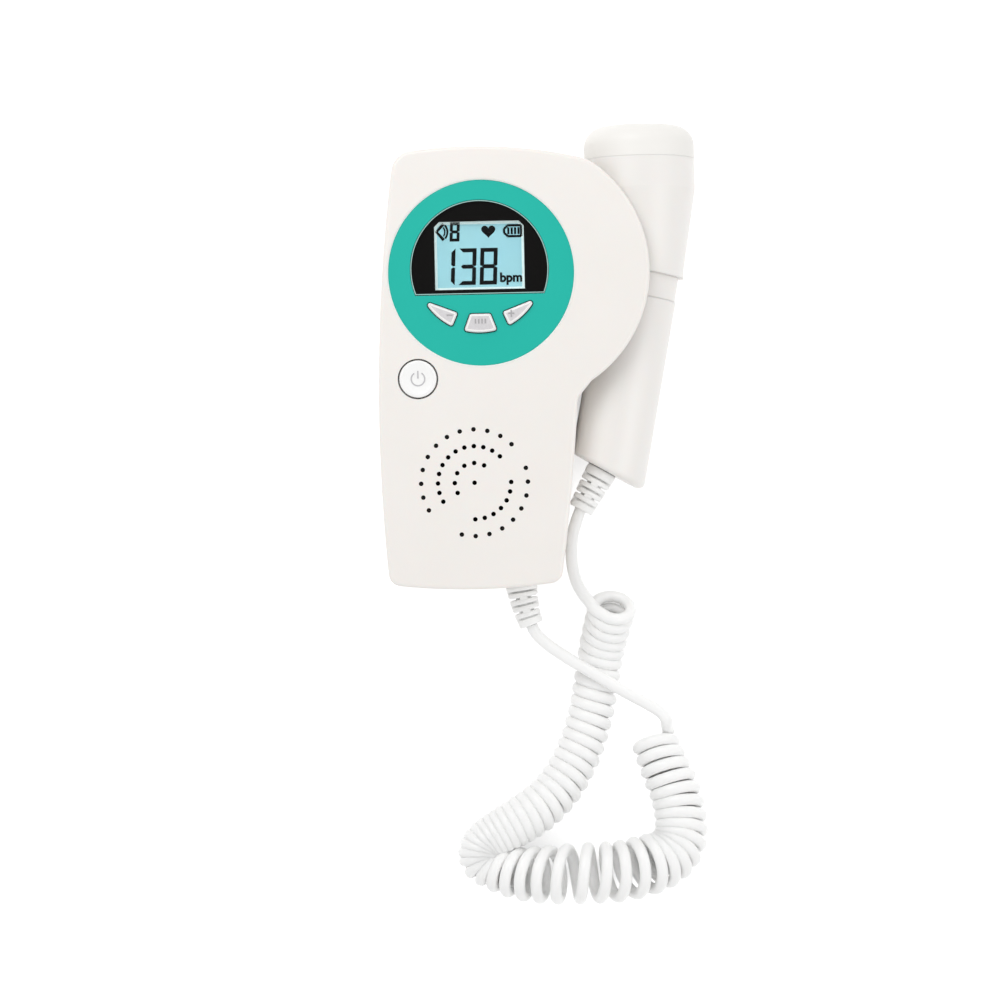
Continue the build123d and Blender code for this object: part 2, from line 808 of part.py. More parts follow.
def strain_relief(plane, length, neck):
    """Sleeve that tapers outwards from the plane, with a neck through the wall and a flange behind it."""
    with BuildPart(plane) as sleeve:
        Cone(relief_base_d / 2, relief_tip_d / 2, length, align=MIN)
        Cylinder(relief_base_d / 2, neck, align=MAX)
        with Locations((0, 0, -neck)):
            Cylinder(relief_base_d / 2 + relief_lip, relief_flange_t, align=MAX)
        reach = (relief_base_d - slot_spine) / 2
        for i in range(int((length - slot_pitch) / slot_pitch)):
            turn = 90 * (i % 2)
            with Locations(Location((0, 0, (i + 1) * slot_pitch), (0, 0, turn))):
                with GridLocations(slot_spine + reach, 0, 2, 1):
                    Box(reach, relief_base_d, slot_t, mode=Mode.SUBTRACT)
    return sleeve


case_relief = strain_relief(case_exit, case_relief_length, wall + relief_flange_t)
save(case_relief, "body_strain_relief")
probe_relief = strain_relief(probe_exit, probe_relief_length, shell + fit)
save(probe_relief, "probe_strain_relief")

# ---- probe ----

head_seat = Plane(origin=probe_joint, x_dir=(1, 0, 0), z_dir=(0, 0, 1))


def head_profile(inset, start, length):
    """Half section of the flared head beside its axis, brought in by the inset."""
    neck = neck_r - inset
    full = head_r - inset
    return [(0, start), (neck, start), (neck, 0), (full, taper_length), (full, length), (0, length)]


with BuildPart() as head_form:
    with BuildSketch(head_seat):
        Polygon(*head_profile(0, -neck_r, head_length), align=None)
    revolve(axis=Axis((probe_x, probe_y, probe_z), (0, 1, 0)))
    split(bisect_by=Plane(origin=probe_joint, z_dir=SLIDE), keep=Keep.TOP)

with BuildPart() as probe_head:
    add(head_form.part)
    with BuildSketch(head_seat):
        Polygon(*head_profile(shell, 0, head_length + shell), align=None)
    revolve(axis=Axis((probe_x, probe_y, probe_z), (0, 1, 0)), mode=Mode.SUBTRACT)
    with BuildPart(handle_plane, mode=Mode.PRIVATE) as socket:
        Cylinder(collar_r - shell + fit, 4 * shell)
    add(socket.part, mode=Mode.SUBTRACT)

save(probe_head, "probe_head")

cap_end = head_length + cap_length

with BuildPart() as probe_face_cap:
    with BuildSketch(head_seat) as cap_sketch:
        with Locations((0, head_length)):
            Rectangle(head_r, cap_length, align=Align.MIN)
        fillet(cap_sketch.vertices().group_by(Axis.Y)[-1].sort_by(Axis.X)[-1], cap_round)
        with Locations((0, head_length - spigot)):
            Rectangle(head_r - shell - fit, spigot + shell, align=Align.MIN)
        with Locations((0, head_length - spigot)):
            Rectangle(head_r - 2 * shell, spigot + cap_length - shell, align=Align.MIN, mode=Mode.SUBTRACT)
    revolve(axis=Axis((probe_x, probe_y, probe_z), (0, 1, 0)))

save(probe_face_cap, "probe_face_cap")

crystal_r = head_r - cap_round
crystal_plane = Plane(
    origin=(probe_x, probe_y + cap_end - shell, probe_z), x_dir=(1, 0, 0), z_dir=(0, -1, 0)
)

with BuildPart() as transducer_crystals:
    with BuildSketch(crystal_plane):
        Circle(crystal_r)
        Rectangle(crystal_gap, 2 * crystal_r, mode=Mode.SUBTRACT)
    extrude(amount=crystal_t)

save(transducer_crystals, "transducer_crystals")

with BuildPart() as transducer_backing:
    with BuildSketch(crystal_plane.offset(crystal_t)):
        Circle(head_r - 2 * shell - fit)
    extrude(amount=backing_t)
    chamfer(transducer_backing.edges(), crystal_t / 2)

save(transducer_backing, "transducer_backing")

with BuildPart(handle_plane) as probe_collar:
    Cylinder(collar_r, collar_length, align=MIN)
    with Locations((0, 0, -shell)):
        Cylinder(collar_r - shell, collar_length + shell + spigot, align=MIN)
    with Locations((0, 0, -shell)):
        Cylinder(collar_r - 2 * shell, collar_length + shell + spigot, align=MIN, mode=Mode.SUBTRACT)

save(probe_collar, "probe_collar")

with BuildPart() as handle_core:
    with BuildSketch(handle_plane.offset(collar_length)):
        Circle(handle_r - shell - (handle_r - collar_r) + fit)
    extrude(amount=handle_end)
    split(bisect_by=foot_plane.offset(-shell), keep=Keep.BOTTOM)

with BuildPart() as probe_handle:
    with BuildSketch(handle_plane.offset(collar_length)):
        Circle(handle_r)
    extrude(amount=handle_end)
    split(bisect_by=foot_plane, keep=Keep.BOTTOM)
    fillet(probe_handle.faces().sort_by_distance(foot_centre)[0].edges(), foot_edge_round)
    add(handle_core.part, mode=Mode.SUBTRACT)
    add(relief_hole(probe_exit), mode=Mode.SUBTRACT)

save(probe_handle, "probe_handle")

with BuildPart() as probe_board:
    with BuildSketch(handle_plane.offset(collar_length + spigot + fit)):
        Rectangle(probe_board_t, 2 * (collar_r - shell))
    extrude(amount=probe_board_length)

save(probe_board, "probe_board")

# ---- curly cord: a lead from the case, the coil as one thick tube, and a lead to the probe ----


def bend_radii(points):
    """Largest arc that each corner's two runs allow, leaving a tenth of the shorter run straight."""
    radii = []
    for before, corner, after in zip(points, points[1:], points[2:]):
        into, out = Vector(corner) - Vector(before), Vector(after) - Vector(corner)
        half_turn = math.radians(into.get_angle(out) / 2)
        radii.append(0.45 * min(into.length, out.length) / math.tan(half_turn))
    return radii


def cord_tube(name, points, diameter):
    """Tube along straight runs that tangent arcs join."""
    points = [Vector(p) for p in points]
    radii = bend_radii(points)
    with BuildPart() as tube:
        with BuildLine() as route:
            FilletPolyline(*points, radius=radii)
        with BuildSketch(Plane(origin=points[0], z_dir=points[1] - points[0])):
            Circle(diameter / 2)
        sweep(path=route.line)
    length = sum(edge.length for edge in route.edges())
    ratio = tube.part.volume / (math.pi * diameter**2 / 4 * length)
    print(name, "length", round(length, 1), "volume over section times length", round(ratio, 4))
    print("   radii", [round(r, 1) for r in radii])
    return tube


coil_z = coil_d / 2 + 0.1
coil_points = [
    (55.0, -117.0, coil_z),
    (59.0, -132.0, coil_z),
    (59.6, -147.0, coil_z),
    (49.5, -157.2, coil_z),
    (27.5, -157.9, coil_z),
    (3.6, -157.6, coil_z),
    (-2.4, -151.6, coil_z),
    (-2.4, -143.2, coil_z),
    (3.8, -137.2, coil_z),
    (17.0, -132.4, coil_z),
    (26.5, -121.5, coil_z),
    (31.3, -107.0, coil_z),
    (33.8, -94.0, coil_z + 0.4),
    (36.2, -85.5, coil_z + 1.8),
    (37.0, -77.5, coil_z + 3.4),
]
coil_cord = cord_tube("coil_cord", coil_points, coil_d)
save(coil_cord, "coil_cord")

coil_start = Vector(coil_points[0])
start_plane = Plane(origin=coil_start, x_dir=(0, 0, 1), z_dir=coil_start - Vector(coil_points[1]))

body_lead_points = [
    case_exit.from_local_coords((0, 0, case_relief_length)),
    case_exit.from_local_coords((0, 0, case_relief_length + 5.2)),
    (16.3, -88.1, 20.8),
    (21.2, -91.4, 21.8),
    (28.5, -93.6, 22.6),
    (37.0, -96.6, 22.6),
    (44.0, -100.8, 20.6),
    (49.4, -106.0, 17.2),
    start_plane.from_local_coords((5.6, 0, 6.8)),
    start_plane.from_local_coords((5.6, 0, 0)),
]
body_lead = cord_tube("body_lead", body_lead_points, cord_d)
save(body_lead, "body_lead")

# the probe's lead ends just short of the coil's end, because it moves off with the probe
probe_lead_points = [
    probe_exit.from_local_coords((0, 0, probe_relief_length)),
    probe_exit.from_local_coords((0, 0, probe_relief_length + 6.0)),
    (26.2, -57.0, 17.3),
    (27.6, -64.8, 17.1),
    (30.8, -71.2, 16.6),
    (34.8, -76.7, 15.0),
]
probe_lead = cord_tube("probe_lead", probe_lead_points, cord_d)
save(probe_lead, "probe_lead")
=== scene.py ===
# %% [markdown]
# # A fetal doppler monitor
#
# The object is a hand-held heartbeat monitor: a flat white case with a round blue-green face plate, a small
# lit display, four keys and a loudspeaker, and an ultrasound probe that rests in a channel along one side
# and hangs on a curly cord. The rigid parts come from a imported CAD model. Here they get their finishes, and
# the soft and printed things are made: the cord, the strain reliefs, the display's figures and the symbols.

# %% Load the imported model
import math

import bmesh
import bpy
from mathutils import Matrix, Vector


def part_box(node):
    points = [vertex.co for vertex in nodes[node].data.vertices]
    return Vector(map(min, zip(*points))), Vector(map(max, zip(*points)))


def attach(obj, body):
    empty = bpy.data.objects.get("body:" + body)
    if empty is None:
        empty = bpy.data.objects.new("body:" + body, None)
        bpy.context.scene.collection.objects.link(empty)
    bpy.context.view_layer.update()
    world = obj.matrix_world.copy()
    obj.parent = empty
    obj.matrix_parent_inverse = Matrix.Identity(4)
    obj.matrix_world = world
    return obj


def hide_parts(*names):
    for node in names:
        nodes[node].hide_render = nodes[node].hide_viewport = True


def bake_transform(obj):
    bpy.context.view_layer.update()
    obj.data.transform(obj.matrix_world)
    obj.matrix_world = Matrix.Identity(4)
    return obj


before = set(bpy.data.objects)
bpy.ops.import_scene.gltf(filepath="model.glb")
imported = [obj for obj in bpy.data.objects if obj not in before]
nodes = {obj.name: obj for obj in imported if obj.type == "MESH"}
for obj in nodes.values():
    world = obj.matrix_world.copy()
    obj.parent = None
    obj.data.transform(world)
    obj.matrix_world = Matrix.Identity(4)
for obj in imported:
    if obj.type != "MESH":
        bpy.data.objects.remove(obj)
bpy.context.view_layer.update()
MM = 0.001

# %% [markdown]
# ## Camera
#
# The monitor lies on its back and is seen from straight above, slightly turned. The lens follows from how
# wide a strip the picture takes in at the height of the front face: sensor width over that strip is the
# same as focal length over distance. The camera and the cord are made first, because the cord has to stay
# inside the view.

# %% Camera above the case
SENSOR = 36.0                 # width of the film, mm
VIEW_HEIGHT = 1000.0          # camera above the surface, mm
FACE_HEIGHT = 37.6            # front of the monitor, mm
VIEW_WIDTH = 303.4            # strip seen at that height, mm
VIEW_CENTRE = (4.3, -40.3)    # point under the camera, mm
VIEW_TURN = math.radians(-1.2)

camera_data = bpy.data.cameras.new("camera")
camera_data.sensor_width = SENSOR
camera_data.lens = SENSOR * (VIEW_HEIGHT - FACE_HEIGHT) / VIEW_WIDTH
camera_data.clip_start = 0.05
camera = bpy.data.objects.new("camera", camera_data)
camera.location = (VIEW_CENTRE[0] * MM, VIEW_CENTRE[1] * MM, VIEW_HEIGHT * MM)
camera.rotation_euler = (0, 0, VIEW_TURN)
bpy.context.scene.collection.objects.link(camera)
bpy.context.scene.camera = camera
print("focal length", round(camera_data.lens, 1))

# %% [markdown]
# ## The cord's route
#
# A curly cord has two straight ends and a coil between them. One end leaves the case, crosses over the coil
# and goes into its first turn; the other goes on from the last turn to the probe. A NURBS spline makes a
# smooth line from few points: it passes near the inner ones and never swings out past them. The spline is
# evaluated by turning the curve into a mesh, whose vertices are then points along the line.

# %% Points of the route, in millimetres
CORD = 3.7                    # diameter of the cord
CORD_RADIUS = CORD / 2
LINE_STEP = 0.4               # distance of the points that a route is turned into

coil_route = [
    (50.4, -115.2, 8.4), (53.2, -122.9, 8.2), (59.0, -136.7, 8.2), (58.6, -151.8, 8.9), (42.4, -157.1, 9.7),
    (27.8, -157.3, 9.9), (16.1, -157.8, 9.7), (4.0, -156.9, 8.8), (-3.9, -154.2, 7.9), (-4.0, -148.0, 7.9),
    (2.2, -144.2, 7.8), (17.5, -135.3, 7.6), (25.7, -123.8, 7.4), (30.8, -110.5, 7.3), (33.6, -96.4, 7.3),
    (35.2, -86.5, 8.0), (37.3, -79.0, 11.0), (38.7, -73.3, 14.0),
]
body_route = [
    (13.3, -79.1, 20.0), (14.1, -81.6, 19.9), (18.3, -85.6, 19.2), (25.5, -90.6, 17.6), (33.5, -95.4, 16.6),
    (41.6, -100.5, 16.4), (48.2, -104.2, 15.8), (52.8, -107.0, 15.4), (54.8, -109.8, 14.8),
]
probe_route = [
    (32.0, -73.3, 16.5), (28.2, -68.4, 16.5), (26.3, -62.5, 16.7), (26.0, -55.5, 17.0), (26.9, -49.3, 17.4),
    (29.24, -43.58, 17.45),
]


def smooth_line(points):
    """Evenly spaced points along the NURBS spline that has these control points, all in millimetres."""
    curve = bpy.data.curves.new("route", "CURVE")
    curve.dimensions = "3D"
    spline = curve.splines.new("NURBS")
    spline.points.add(len(points) - 1)
    for control, point in zip(spline.points, points):
        control.co = (*(Vector(point) * MM), 1)
    spline.order_u = 3
    spline.use_endpoint_u = True
    spline.resolution_u = 32
    holder = bpy.data.objects.new("route", curve)
    mesh = bpy.data.meshes.new_from_object(holder)
    line = [v.co / MM for v in mesh.vertices]
    bpy.data.objects.remove(holder)
    bpy.data.curves.remove(curve)
    bpy.data.meshes.remove(mesh)
    return resample(line)


def line_length(line):
    return sum((b - a).length for a, b in zip(line, line[1:]))


def resample(line):
    """The same line with evenly spaced points."""
    count = max(2, round(line_length(line) / LINE_STEP))
    spacing = line_length(line) / count
    even = [line[0].copy()]
    left = spacing
    for a, b in zip(line, line[1:]):
        run = (b - a).length
        while run >= left and len(even) < count:
            a = a.lerp(b, left / run)
            even.append(a.copy())
            run = (b - a).length
            left = spacing
        left -= run
    even.append(line[-1].copy())
    return even


axis = smooth_line(coil_route)
print("coil axis", round(line_length(axis), 1), "mm")

# %% [markdown]
# ## The curly part
#
# The helix is worked out along the evaluated axis: each step along it turns a short arm a little further
# about the axis. The arm's length is the coil's radius and the turn per step follows from the pitch. Both
# change along the cord, because a coil opens out in a wide bend and closes up in a sharp one, and the
# stretch that rises to the probe is wound tighter than the one that lies at the bottom. The turns also
# lean, with their upper side pushed along the coil, as a row of rings does that lies on a table. The sense
# of the helix is left-handed.

# %% Helix along the axis
COIL_SIZE = [                 # share of the axis, arm in mm, pitch in mm, lean
    (0.00, 5.3, 3.85, -0.45), (0.04, 6.0, 3.85, -0.35), (0.08, 6.3, 3.85, -0.20), (0.14, 6.4, 3.75, -0.20),
    (0.17, 6.6, 3.1, -0.28), (0.20, 7.1, 2.9, -0.33), (0.23, 7.7, 4.1, -0.35), (0.25, 7.9, 5.2, -0.35),
    (0.31, 7.9, 5.2, -0.12), (0.33, 7.9, 6.1, -0.02), (0.36, 7.8, 6.9, 0.10), (0.378, 7.6, 6.5, 0.25),
    (0.39, 7.5, 5.2, 0.32), (0.43, 6.9, 4.8, 0.38), (0.455, 6.1, 4.3, 0.40), (0.48, 5.2, 3.8, 0.40),
    (0.495, 4.9, 2.6, 0.25), (0.52, 5.5, 1.3, 0.10), (0.545, 5.4, 1.6, 0.05), (0.57, 5.5, 2.2, 0.05),
    (0.60, 5.8, 2.6, 0.10), (0.63, 5.9, 3.2, 0.20), (0.66, 5.8, 3.6, 0.25), (0.72, 5.6, 3.75, 0.20),
    (0.80, 5.4, 3.75, 0.05), (0.90, 5.4, 3.75, -0.10), (0.96, 5.6, 3.7, -0.25), (1.00, 5.9, 3.7, -0.35),
]
FIRST_ARM = math.radians(85)  # where the lead goes into the first turn, from the top of the turn
LAST_ARM = math.radians(25)   # where the last turn lets go of the coil
POINTS_PER_TURN = 30
SPAN = 5                      # steps of the axis on either side that give its direction
RUN_IN = 4.0                  # straight bit before the first turn, mm
RUN_OUT = 3.0                 # straight bit after the last turn, mm


def between(share, column):
    """Value of a column of COIL_SIZE at a share of the axis."""
    for low, high in zip(COIL_SIZE, COIL_SIZE[1:]):
        if share <= high[0]:
            part = (share - low[0]) / (high[0] - low[0])
            return low[column] + (high[column] - low[column]) * part
    return COIL_SIZE[-1][column]


def turn_angles(line):
    """Angle of the arm at each point of the axis, made to start at FIRST_ARM and end at LAST_ARM."""
    angles = [0.0]
    spacing = line_length(line) / (len(line) - 1)
    for i in range(1, len(line)):
        angles.append(angles[-1] + math.tau * spacing / between(i / (len(line) - 1), 2))
    sweep = LAST_ARM - FIRST_ARM
    whole = round((angles[-1] - sweep) / math.tau) * math.tau + sweep
    return [FIRST_ARM + angle * whole / angles[-1] for angle in angles]


def helix(line):
    """Points of the cord's centre around the axis line."""
    angles = turn_angles(line)
    points = []
    steps = math.ceil(POINTS_PER_TURN * (angles[-1] - angles[0]) / math.tau)
    index = 0
    for k in range(steps + 1):
        angle = angles[0] + (angles[-1] - angles[0]) * k / steps
        while index < len(angles) - 2 and angles[index + 1] < angle:
            index += 1
        part = (angle - angles[index]) / (angles[index + 1] - angles[index])
        share = (index + part) / (len(line) - 1)
        centre = line[index].lerp(line[index + 1], part)
        before = line[max(index - SPAN, 0)]
        after = line[min(index + 1 + SPAN, len(line) - 1)]
        ahead = (after - before).normalized()
        up = (Vector((0, 0, 1)) - ahead * ahead.z).normalized()
        side = ahead.cross(up)
        leaning = (up + ahead * between(share, 3)).normalized()
        points.append(centre + (leaning * math.cos(angle) - side * math.sin(angle)) * between(share, 1))
    return points


coil_line = helix(axis)
first_way = (coil_line[1] - coil_line[0]).normalized()
last_way = (coil_line[-1] - coil_line[-2]).normalized()
body_line = smooth_line([*body_route, coil_line[0] - first_way * RUN_IN, coil_line[0]])
lead_line = smooth_line([coil_line[-1], coil_line[-1] + last_way * RUN_OUT, *probe_route])
cord_line = coil_line + lead_line[1:]
turns = (turn_angles(axis)[-1] - FIRST_ARM) / math.tau
lowest = min(p.z for p in coil_line) - CORD_RADIUS
print("turns", round(turns, 1), "lowest point", round(lowest, 2), "mm")
print("lead to the case", round(line_length(body_line), 1), "mm")
print("coil and lead to the probe", round(line_length(cord_line), 1), "mm")

# %% [markdown]
# ## The cord as a tube
#
# A bevelled curve could do this too; here a mesh tube is made. A ring of points is carried along the line.
# Each ring is turned only as much as the line bends, so that the tube doesn't twist, and both ends are
# closed.

# %% Tube along a line
SIDES = 12


def tube_mesh(name, line, radius):
    """Closed tube of the given radius in mm along a line in mm."""
    verts = []
    faces = []
    ahead = (line[1] - line[0]).normalized()
    normal = ahead.orthogonal().normalized()
    for i, centre in enumerate(line):
        new_ahead = (line[min(i + 1, len(line) - 1)] - line[max(i - 1, 0)]).normalized()
        normal = ahead.rotation_difference(new_ahead) @ normal
        normal = (normal - new_ahead * normal.dot(new_ahead)).normalized()
        ahead = new_ahead
        side = ahead.cross(normal)
        for k in range(SIDES):
            angle = math.tau * k / SIDES
            verts.append((centre + (normal * math.cos(angle) + side * math.sin(angle)) * radius) * MM)
    for i in range(len(line) - 1):
        for k in range(SIDES):
            a = i * SIDES + k
            b = i * SIDES + (k + 1) % SIDES
            faces.append((a, b, b + SIDES, a + SIDES))
    faces.append(tuple(range(SIDES - 1, -1, -1)))
    faces.append(tuple(range(len(verts) - SIDES, len(verts))))
    mesh = bpy.data.meshes.new(name)
    mesh.from_pydata(verts, [], faces)
    mesh.polygons.foreach_set("use_smooth", [True] * len(mesh.polygons))
    return mesh


body_tube = tube_mesh("cord_body_lead", body_line, CORD_RADIUS)
curly_tube = tube_mesh("cord_curly", cord_line, CORD_RADIUS)
print("cord triangles", 2 * SIDES * (len(cord_line) + len(body_line)))

# %% [markdown]
# ## The cord's two pieces
#
# The short lead stays with the case. The coil and its other end are one piece.


def new_piece(name, mesh, material, body, slot, *replaced):
    """Put a finished mesh into the scene as a piece that rides on a body."""
    piece = bpy.data.objects.new(name, mesh)
    bpy.context.scene.collection.objects.link(piece)
    if material:
        mesh.materials.clear()
        mesh.materials.append(material)
    if body:
        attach(piece, body)
    if replaced:
        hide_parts(*replaced)
    return piece


body_cord = new_piece("cord_body_lead", body_tube, None, "main", "cord_jacket", "body_lead")
curly_cord = new_piece("cord_curly", curly_tube, None, None, "cord_jacket", "coil_cord", "probe_lead")
cord_line.reverse()
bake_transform(curly_cord)
print("cord pieces placed")

# %% [markdown]
# ## Colour and node helpers
#
# Colours are written as sRGB hex values, as a maker's colour card gives them, and turned to the linear
# values that a shader works with. One function adds any node, with its settings and links.

# %% Helpers for materials


def linear(code):
    """Linear RGBA of an sRGB hex colour such as F4F1ED."""
    channels = [int(code[i:i + 2], 16) / 255 for i in (0, 2, 4)]
    return (*[c / 12.92 if c <= 0.04045 else ((c + 0.055) / 1.055) ** 2.4 for c in channels], 1)


def add(tree, kind, inputs=None, **settings):
    """Add a node. settings are its own properties; inputs hold a value or another node's output."""
    made = tree.nodes.new(kind)
    for name, value in settings.items():
        setattr(made, name, value)
    for key, value in (inputs or {}).items():
        if isinstance(value, bpy.types.NodeSocket):
            tree.links.new(value, made.inputs[key])
        else:
            made.inputs[key].default_value = value
    return made


def maths(tree, operation, first, second):
    """Output of a Math node."""
    return add(tree, "ShaderNodeMath", {0: first, 1: second}, operation=operation).outputs[0]


def blank_material(name):
    """A material with an empty tree and its output node."""
    material = bpy.data.materials.new(name)
    material.use_nodes = True
    tree = material.node_tree
    tree.nodes.clear()
    return material, tree, tree.nodes.new("ShaderNodeOutputMaterial")


def millimetres(tree):
    """Object coordinates scaled so that one unit of a pattern is one millimetre."""
    place = add(tree, "ShaderNodeTexCoord").outputs["Object"]
    return add(tree, "ShaderNodeMapping", {"Vector": place, "Scale": (1 / MM, 1 / MM, 1 / MM)}).outputs[0]


def mixed_colour(tree, factor, low, high):
    """Colour between two hex values by a factor. A Mix node's colours are its inputs 6 and 7, output 2."""
    mix = add(tree, "ShaderNodeMix", {"Factor": factor}, data_type="RGBA")
    mix.inputs[6].default_value = linear(low)
    mix.inputs[7].default_value = linear(high)
    return mix.outputs[2]


def moulded(name, low, high, rough, grain=1.2, depth=0.02, edge=0.15, ior=1.53, **extra):
    """Moulded plastic or rubber: two close shades, a fine uneven skin and edges that catch the light.

    grain is the size of the skin's waves in mm, depth their height in mm and edge the radius of the edges.
    """
    material, tree, out = blank_material(name)
    coords = millimetres(tree)
    cloud = add(tree, "ShaderNodeTexNoise", {"Vector": coords, "Scale": 0.05, "Detail": 3.0})
    skin = add(tree, "ShaderNodeTexNoise", {"Vector": coords, "Scale": 1 / grain, "Detail": 4.0})
    shine = add(tree, "ShaderNodeMapRange", {
        "Value": skin.outputs[0], "To Min": rough - 0.04, "To Max": rough + 0.05,
    })
    soft_edge = add(tree, "ShaderNodeBevel", {"Radius": edge * MM}, samples=4)
    bump = add(tree, "ShaderNodeBump", {
        "Height": skin.outputs[0], "Distance": depth * MM, "Strength": 0.6, "Normal": soft_edge.outputs[0],
    })
    shader = add(tree, "ShaderNodeBsdfPrincipled", {
        "Base Color": mixed_colour(tree, cloud.outputs[0], low, high),
        "Roughness": shine.outputs[0], "Normal": bump.outputs[0], "IOR": ior, **extra,
    })
    tree.links.new(shader.outputs[0], out.inputs[0])
    return material


def finish_node(material, *names):
    """Give CAD nodes a material."""
    for name in names:
        mesh = nodes[name].data
        mesh.materials.clear()
        mesh.materials.append(material)


# %% [markdown]
# ## Plastics of the case and the probe
#
# The shells are injection-moulded ABS from a polished tool. That gives a warm white with a soft gloss, and
# a skin that is never quite flat: broad shallow waves that only show where a lamp is mirrored. Light goes
# about a millimetre into it, which softens its shades. The probe is the same plastic. Its face, the part
# that touches the skin, is a cast, slightly milkier layer.

# %% Case and probe finishes
light_depth = {"Subsurface Weight": 0.12, "Subsurface Radius": (1.0, 0.55, 0.4), "Subsurface Scale": 1.2 * MM}
case_abs = moulded("abs_warm_white_polished", "F1EDE8", "F5F1ED", 0.30, grain=2.5, depth=0.012, **light_depth)
probe_abs = moulded("abs_white_probe", "EFECE8", "F2EFEC", 0.32, grain=2.5, depth=0.012, edge=0.8,
                    **light_depth)
probe_face = moulded("cast_silicone_face", "F0EEEA", "F3F1ED", 0.42, grain=1.5, depth=0.008, ior=1.43)
face_abs = moulded("abs_blue_green_satin", "15B5A5", "1DBAAA", 0.42, grain=0.5, depth=0.01,
                   **{"Specular IOR Level": 0.25})
finish_node(case_abs, "front_case", "rear_case", "battery_door")
finish_node(probe_abs, "probe_head", "probe_collar", "probe_handle")
finish_node(probe_face, "probe_face_cap")
finish_node(face_abs, "face_ring")
print("case, probe and face plate finished")

# %% [markdown]
# ## Keys
#
# The keys are moulded from a pearl plastic: mica flakes in a clear white resin, which shine like a soft
# metal. A partly metallic shader with a fine flake pattern gives that look. The real flakes are under a
# tenth of a millimetre, too fine to see here, so they are drawn four times as coarse.

# %% Pearl plastic
FLAKE = 0.35


def pearl(name, low, high, metal):
    """Pearl plastic: a white resin with mica flakes."""
    material, tree, out = blank_material(name)
    coords = millimetres(tree)
    flakes = add(tree, "ShaderNodeTexVoronoi", {"Vector": coords, "Scale": 1 / FLAKE})
    grey = add(tree, "ShaderNodeRGBToBW", {"Color": flakes.outputs["Color"]})
    shine = add(tree, "ShaderNodeMapRange", {"Value": grey.outputs[0], "To Min": 0.28, "To Max": 0.38})
    soft_edge = add(tree, "ShaderNodeBevel", {"Radius": 0.2 * MM}, samples=4)
    bump = add(tree, "ShaderNodeBump", {
        "Height": grey.outputs[0], "Distance": 0.004 * MM, "Strength": 0.5, "Normal": soft_edge.outputs[0],
    })
    shader = add(tree, "ShaderNodeBsdfPrincipled", {
        "Base Color": mixed_colour(tree, grey.outputs[0], low, high), "Metallic": metal,
        "Roughness": shine.outputs[0], "Normal": bump.outputs[0], "Coat Weight": 0.4, "Coat Roughness": 0.1,
    })
    tree.links.new(shader.outputs[0], out.inputs[0])
    return material


key_pearl = pearl("pearl_plastic_silver", "E2DFE1", "ECEAEC", 0.25)
button_pearl = pearl("pearl_plastic_white", "F7F7F6", "FBFBFA", 0.0)
finish_node(key_pearl, "key_left", "key_middle", "key_right")
finish_node(button_pearl, "power_button")
print("keys finished")

# %% [markdown]
# ## Window and display
#
# The window is a clear sheet with a black print behind it that leaves the display open. Light has to reach
# the display through the sheet. A path tracer finds no lamp through real glass, because glass bends the
# rays that look for it, so shadow rays pass straight through here.

# %% Window and print
window_clear, tree, out = blank_material("polycarbonate_clear")
ray = add(tree, "ShaderNodeLightPath")
sheet = add(tree, "ShaderNodeBsdfPrincipled", {
    "Base Color": linear("FBFDFD"), "Roughness": 0.03, "IOR": 1.58, "Transmission Weight": 1.0,
})
open_way = add(tree, "ShaderNodeBsdfTransparent")
chosen = add(tree, "ShaderNodeMixShader", {
    0: ray.outputs["Is Shadow Ray"], 1: sheet.outputs[0], 2: open_way.outputs[0],
})
tree.links.new(chosen.outputs[0], out.inputs[0])

mask_print = moulded("screen_print_black", "0F0C0B", "13100E", 0.35, grain=2.0, depth=0.001, edge=0.02,
                     **{"Specular IOR Level": 0.1})
finish_node(window_clear, "display_window")
finish_node(mask_print, "window_mask")
print("window finished")

# %% [markdown]
# The display itself is a sandwich of thin glass, liquid and film, with a light guide behind it. It is lit, so
# its shader gives off a little light of its own besides what it throws back.

# %% Display films


def lit_film(name, low, high, glow):
    """A film that is lit from behind, slightly uneven like a light guide with its lamps at one side."""
    material, tree, out = blank_material(name)
    uneven = add(tree, "ShaderNodeTexNoise", {"Vector": millimetres(tree), "Scale": 0.08, "Detail": 2.0})
    shader = add(tree, "ShaderNodeBsdfPrincipled", {
        "Base Color": mixed_colour(tree, uneven.outputs[0], low, high), "Roughness": 0.35,
        "Emission Color": linear(high), "Emission Strength": glow,
    })
    tree.links.new(shader.outputs[0], out.inputs[0])
    return material


display_blue = lit_film("polariser_light_blue", "A1DCEC", "AAE1E8", 0.09)
display_pale = lit_film("light_guide_milky", "D2E6E7", "D8EAEA", 0.3)
finish_node(display_blue, "lcd_glass")
finish_node(display_pale, "backlight")
print("display finished")

# %% [markdown]
# ## Flat printed and etched pieces
#
# The dark figures of a liquid-crystal display are thin electrodes. They are made as flat prisms from an
# outline. The same function makes the marks on the keys and the power symbol, and the band function beside it
# makes the rims.

# %% Prisms from outlines


def prism(outlines, low, high):
    """Mesh of flat prisms between two heights, from lists of (x, y) in mm."""
    build = bmesh.new()
    for outline in outlines:
        bottom = [build.verts.new((x * MM, y * MM, low * MM)) for x, y in outline]
        top = [build.verts.new((x * MM, y * MM, high * MM)) for x, y in outline]
        build.faces.new(top)
        build.faces.new(bottom[::-1])
        for i in range(len(outline)):
            j = (i + 1) % len(outline)
            build.faces.new((bottom[i], bottom[j], top[j], top[i]))
    return to_mesh(build)


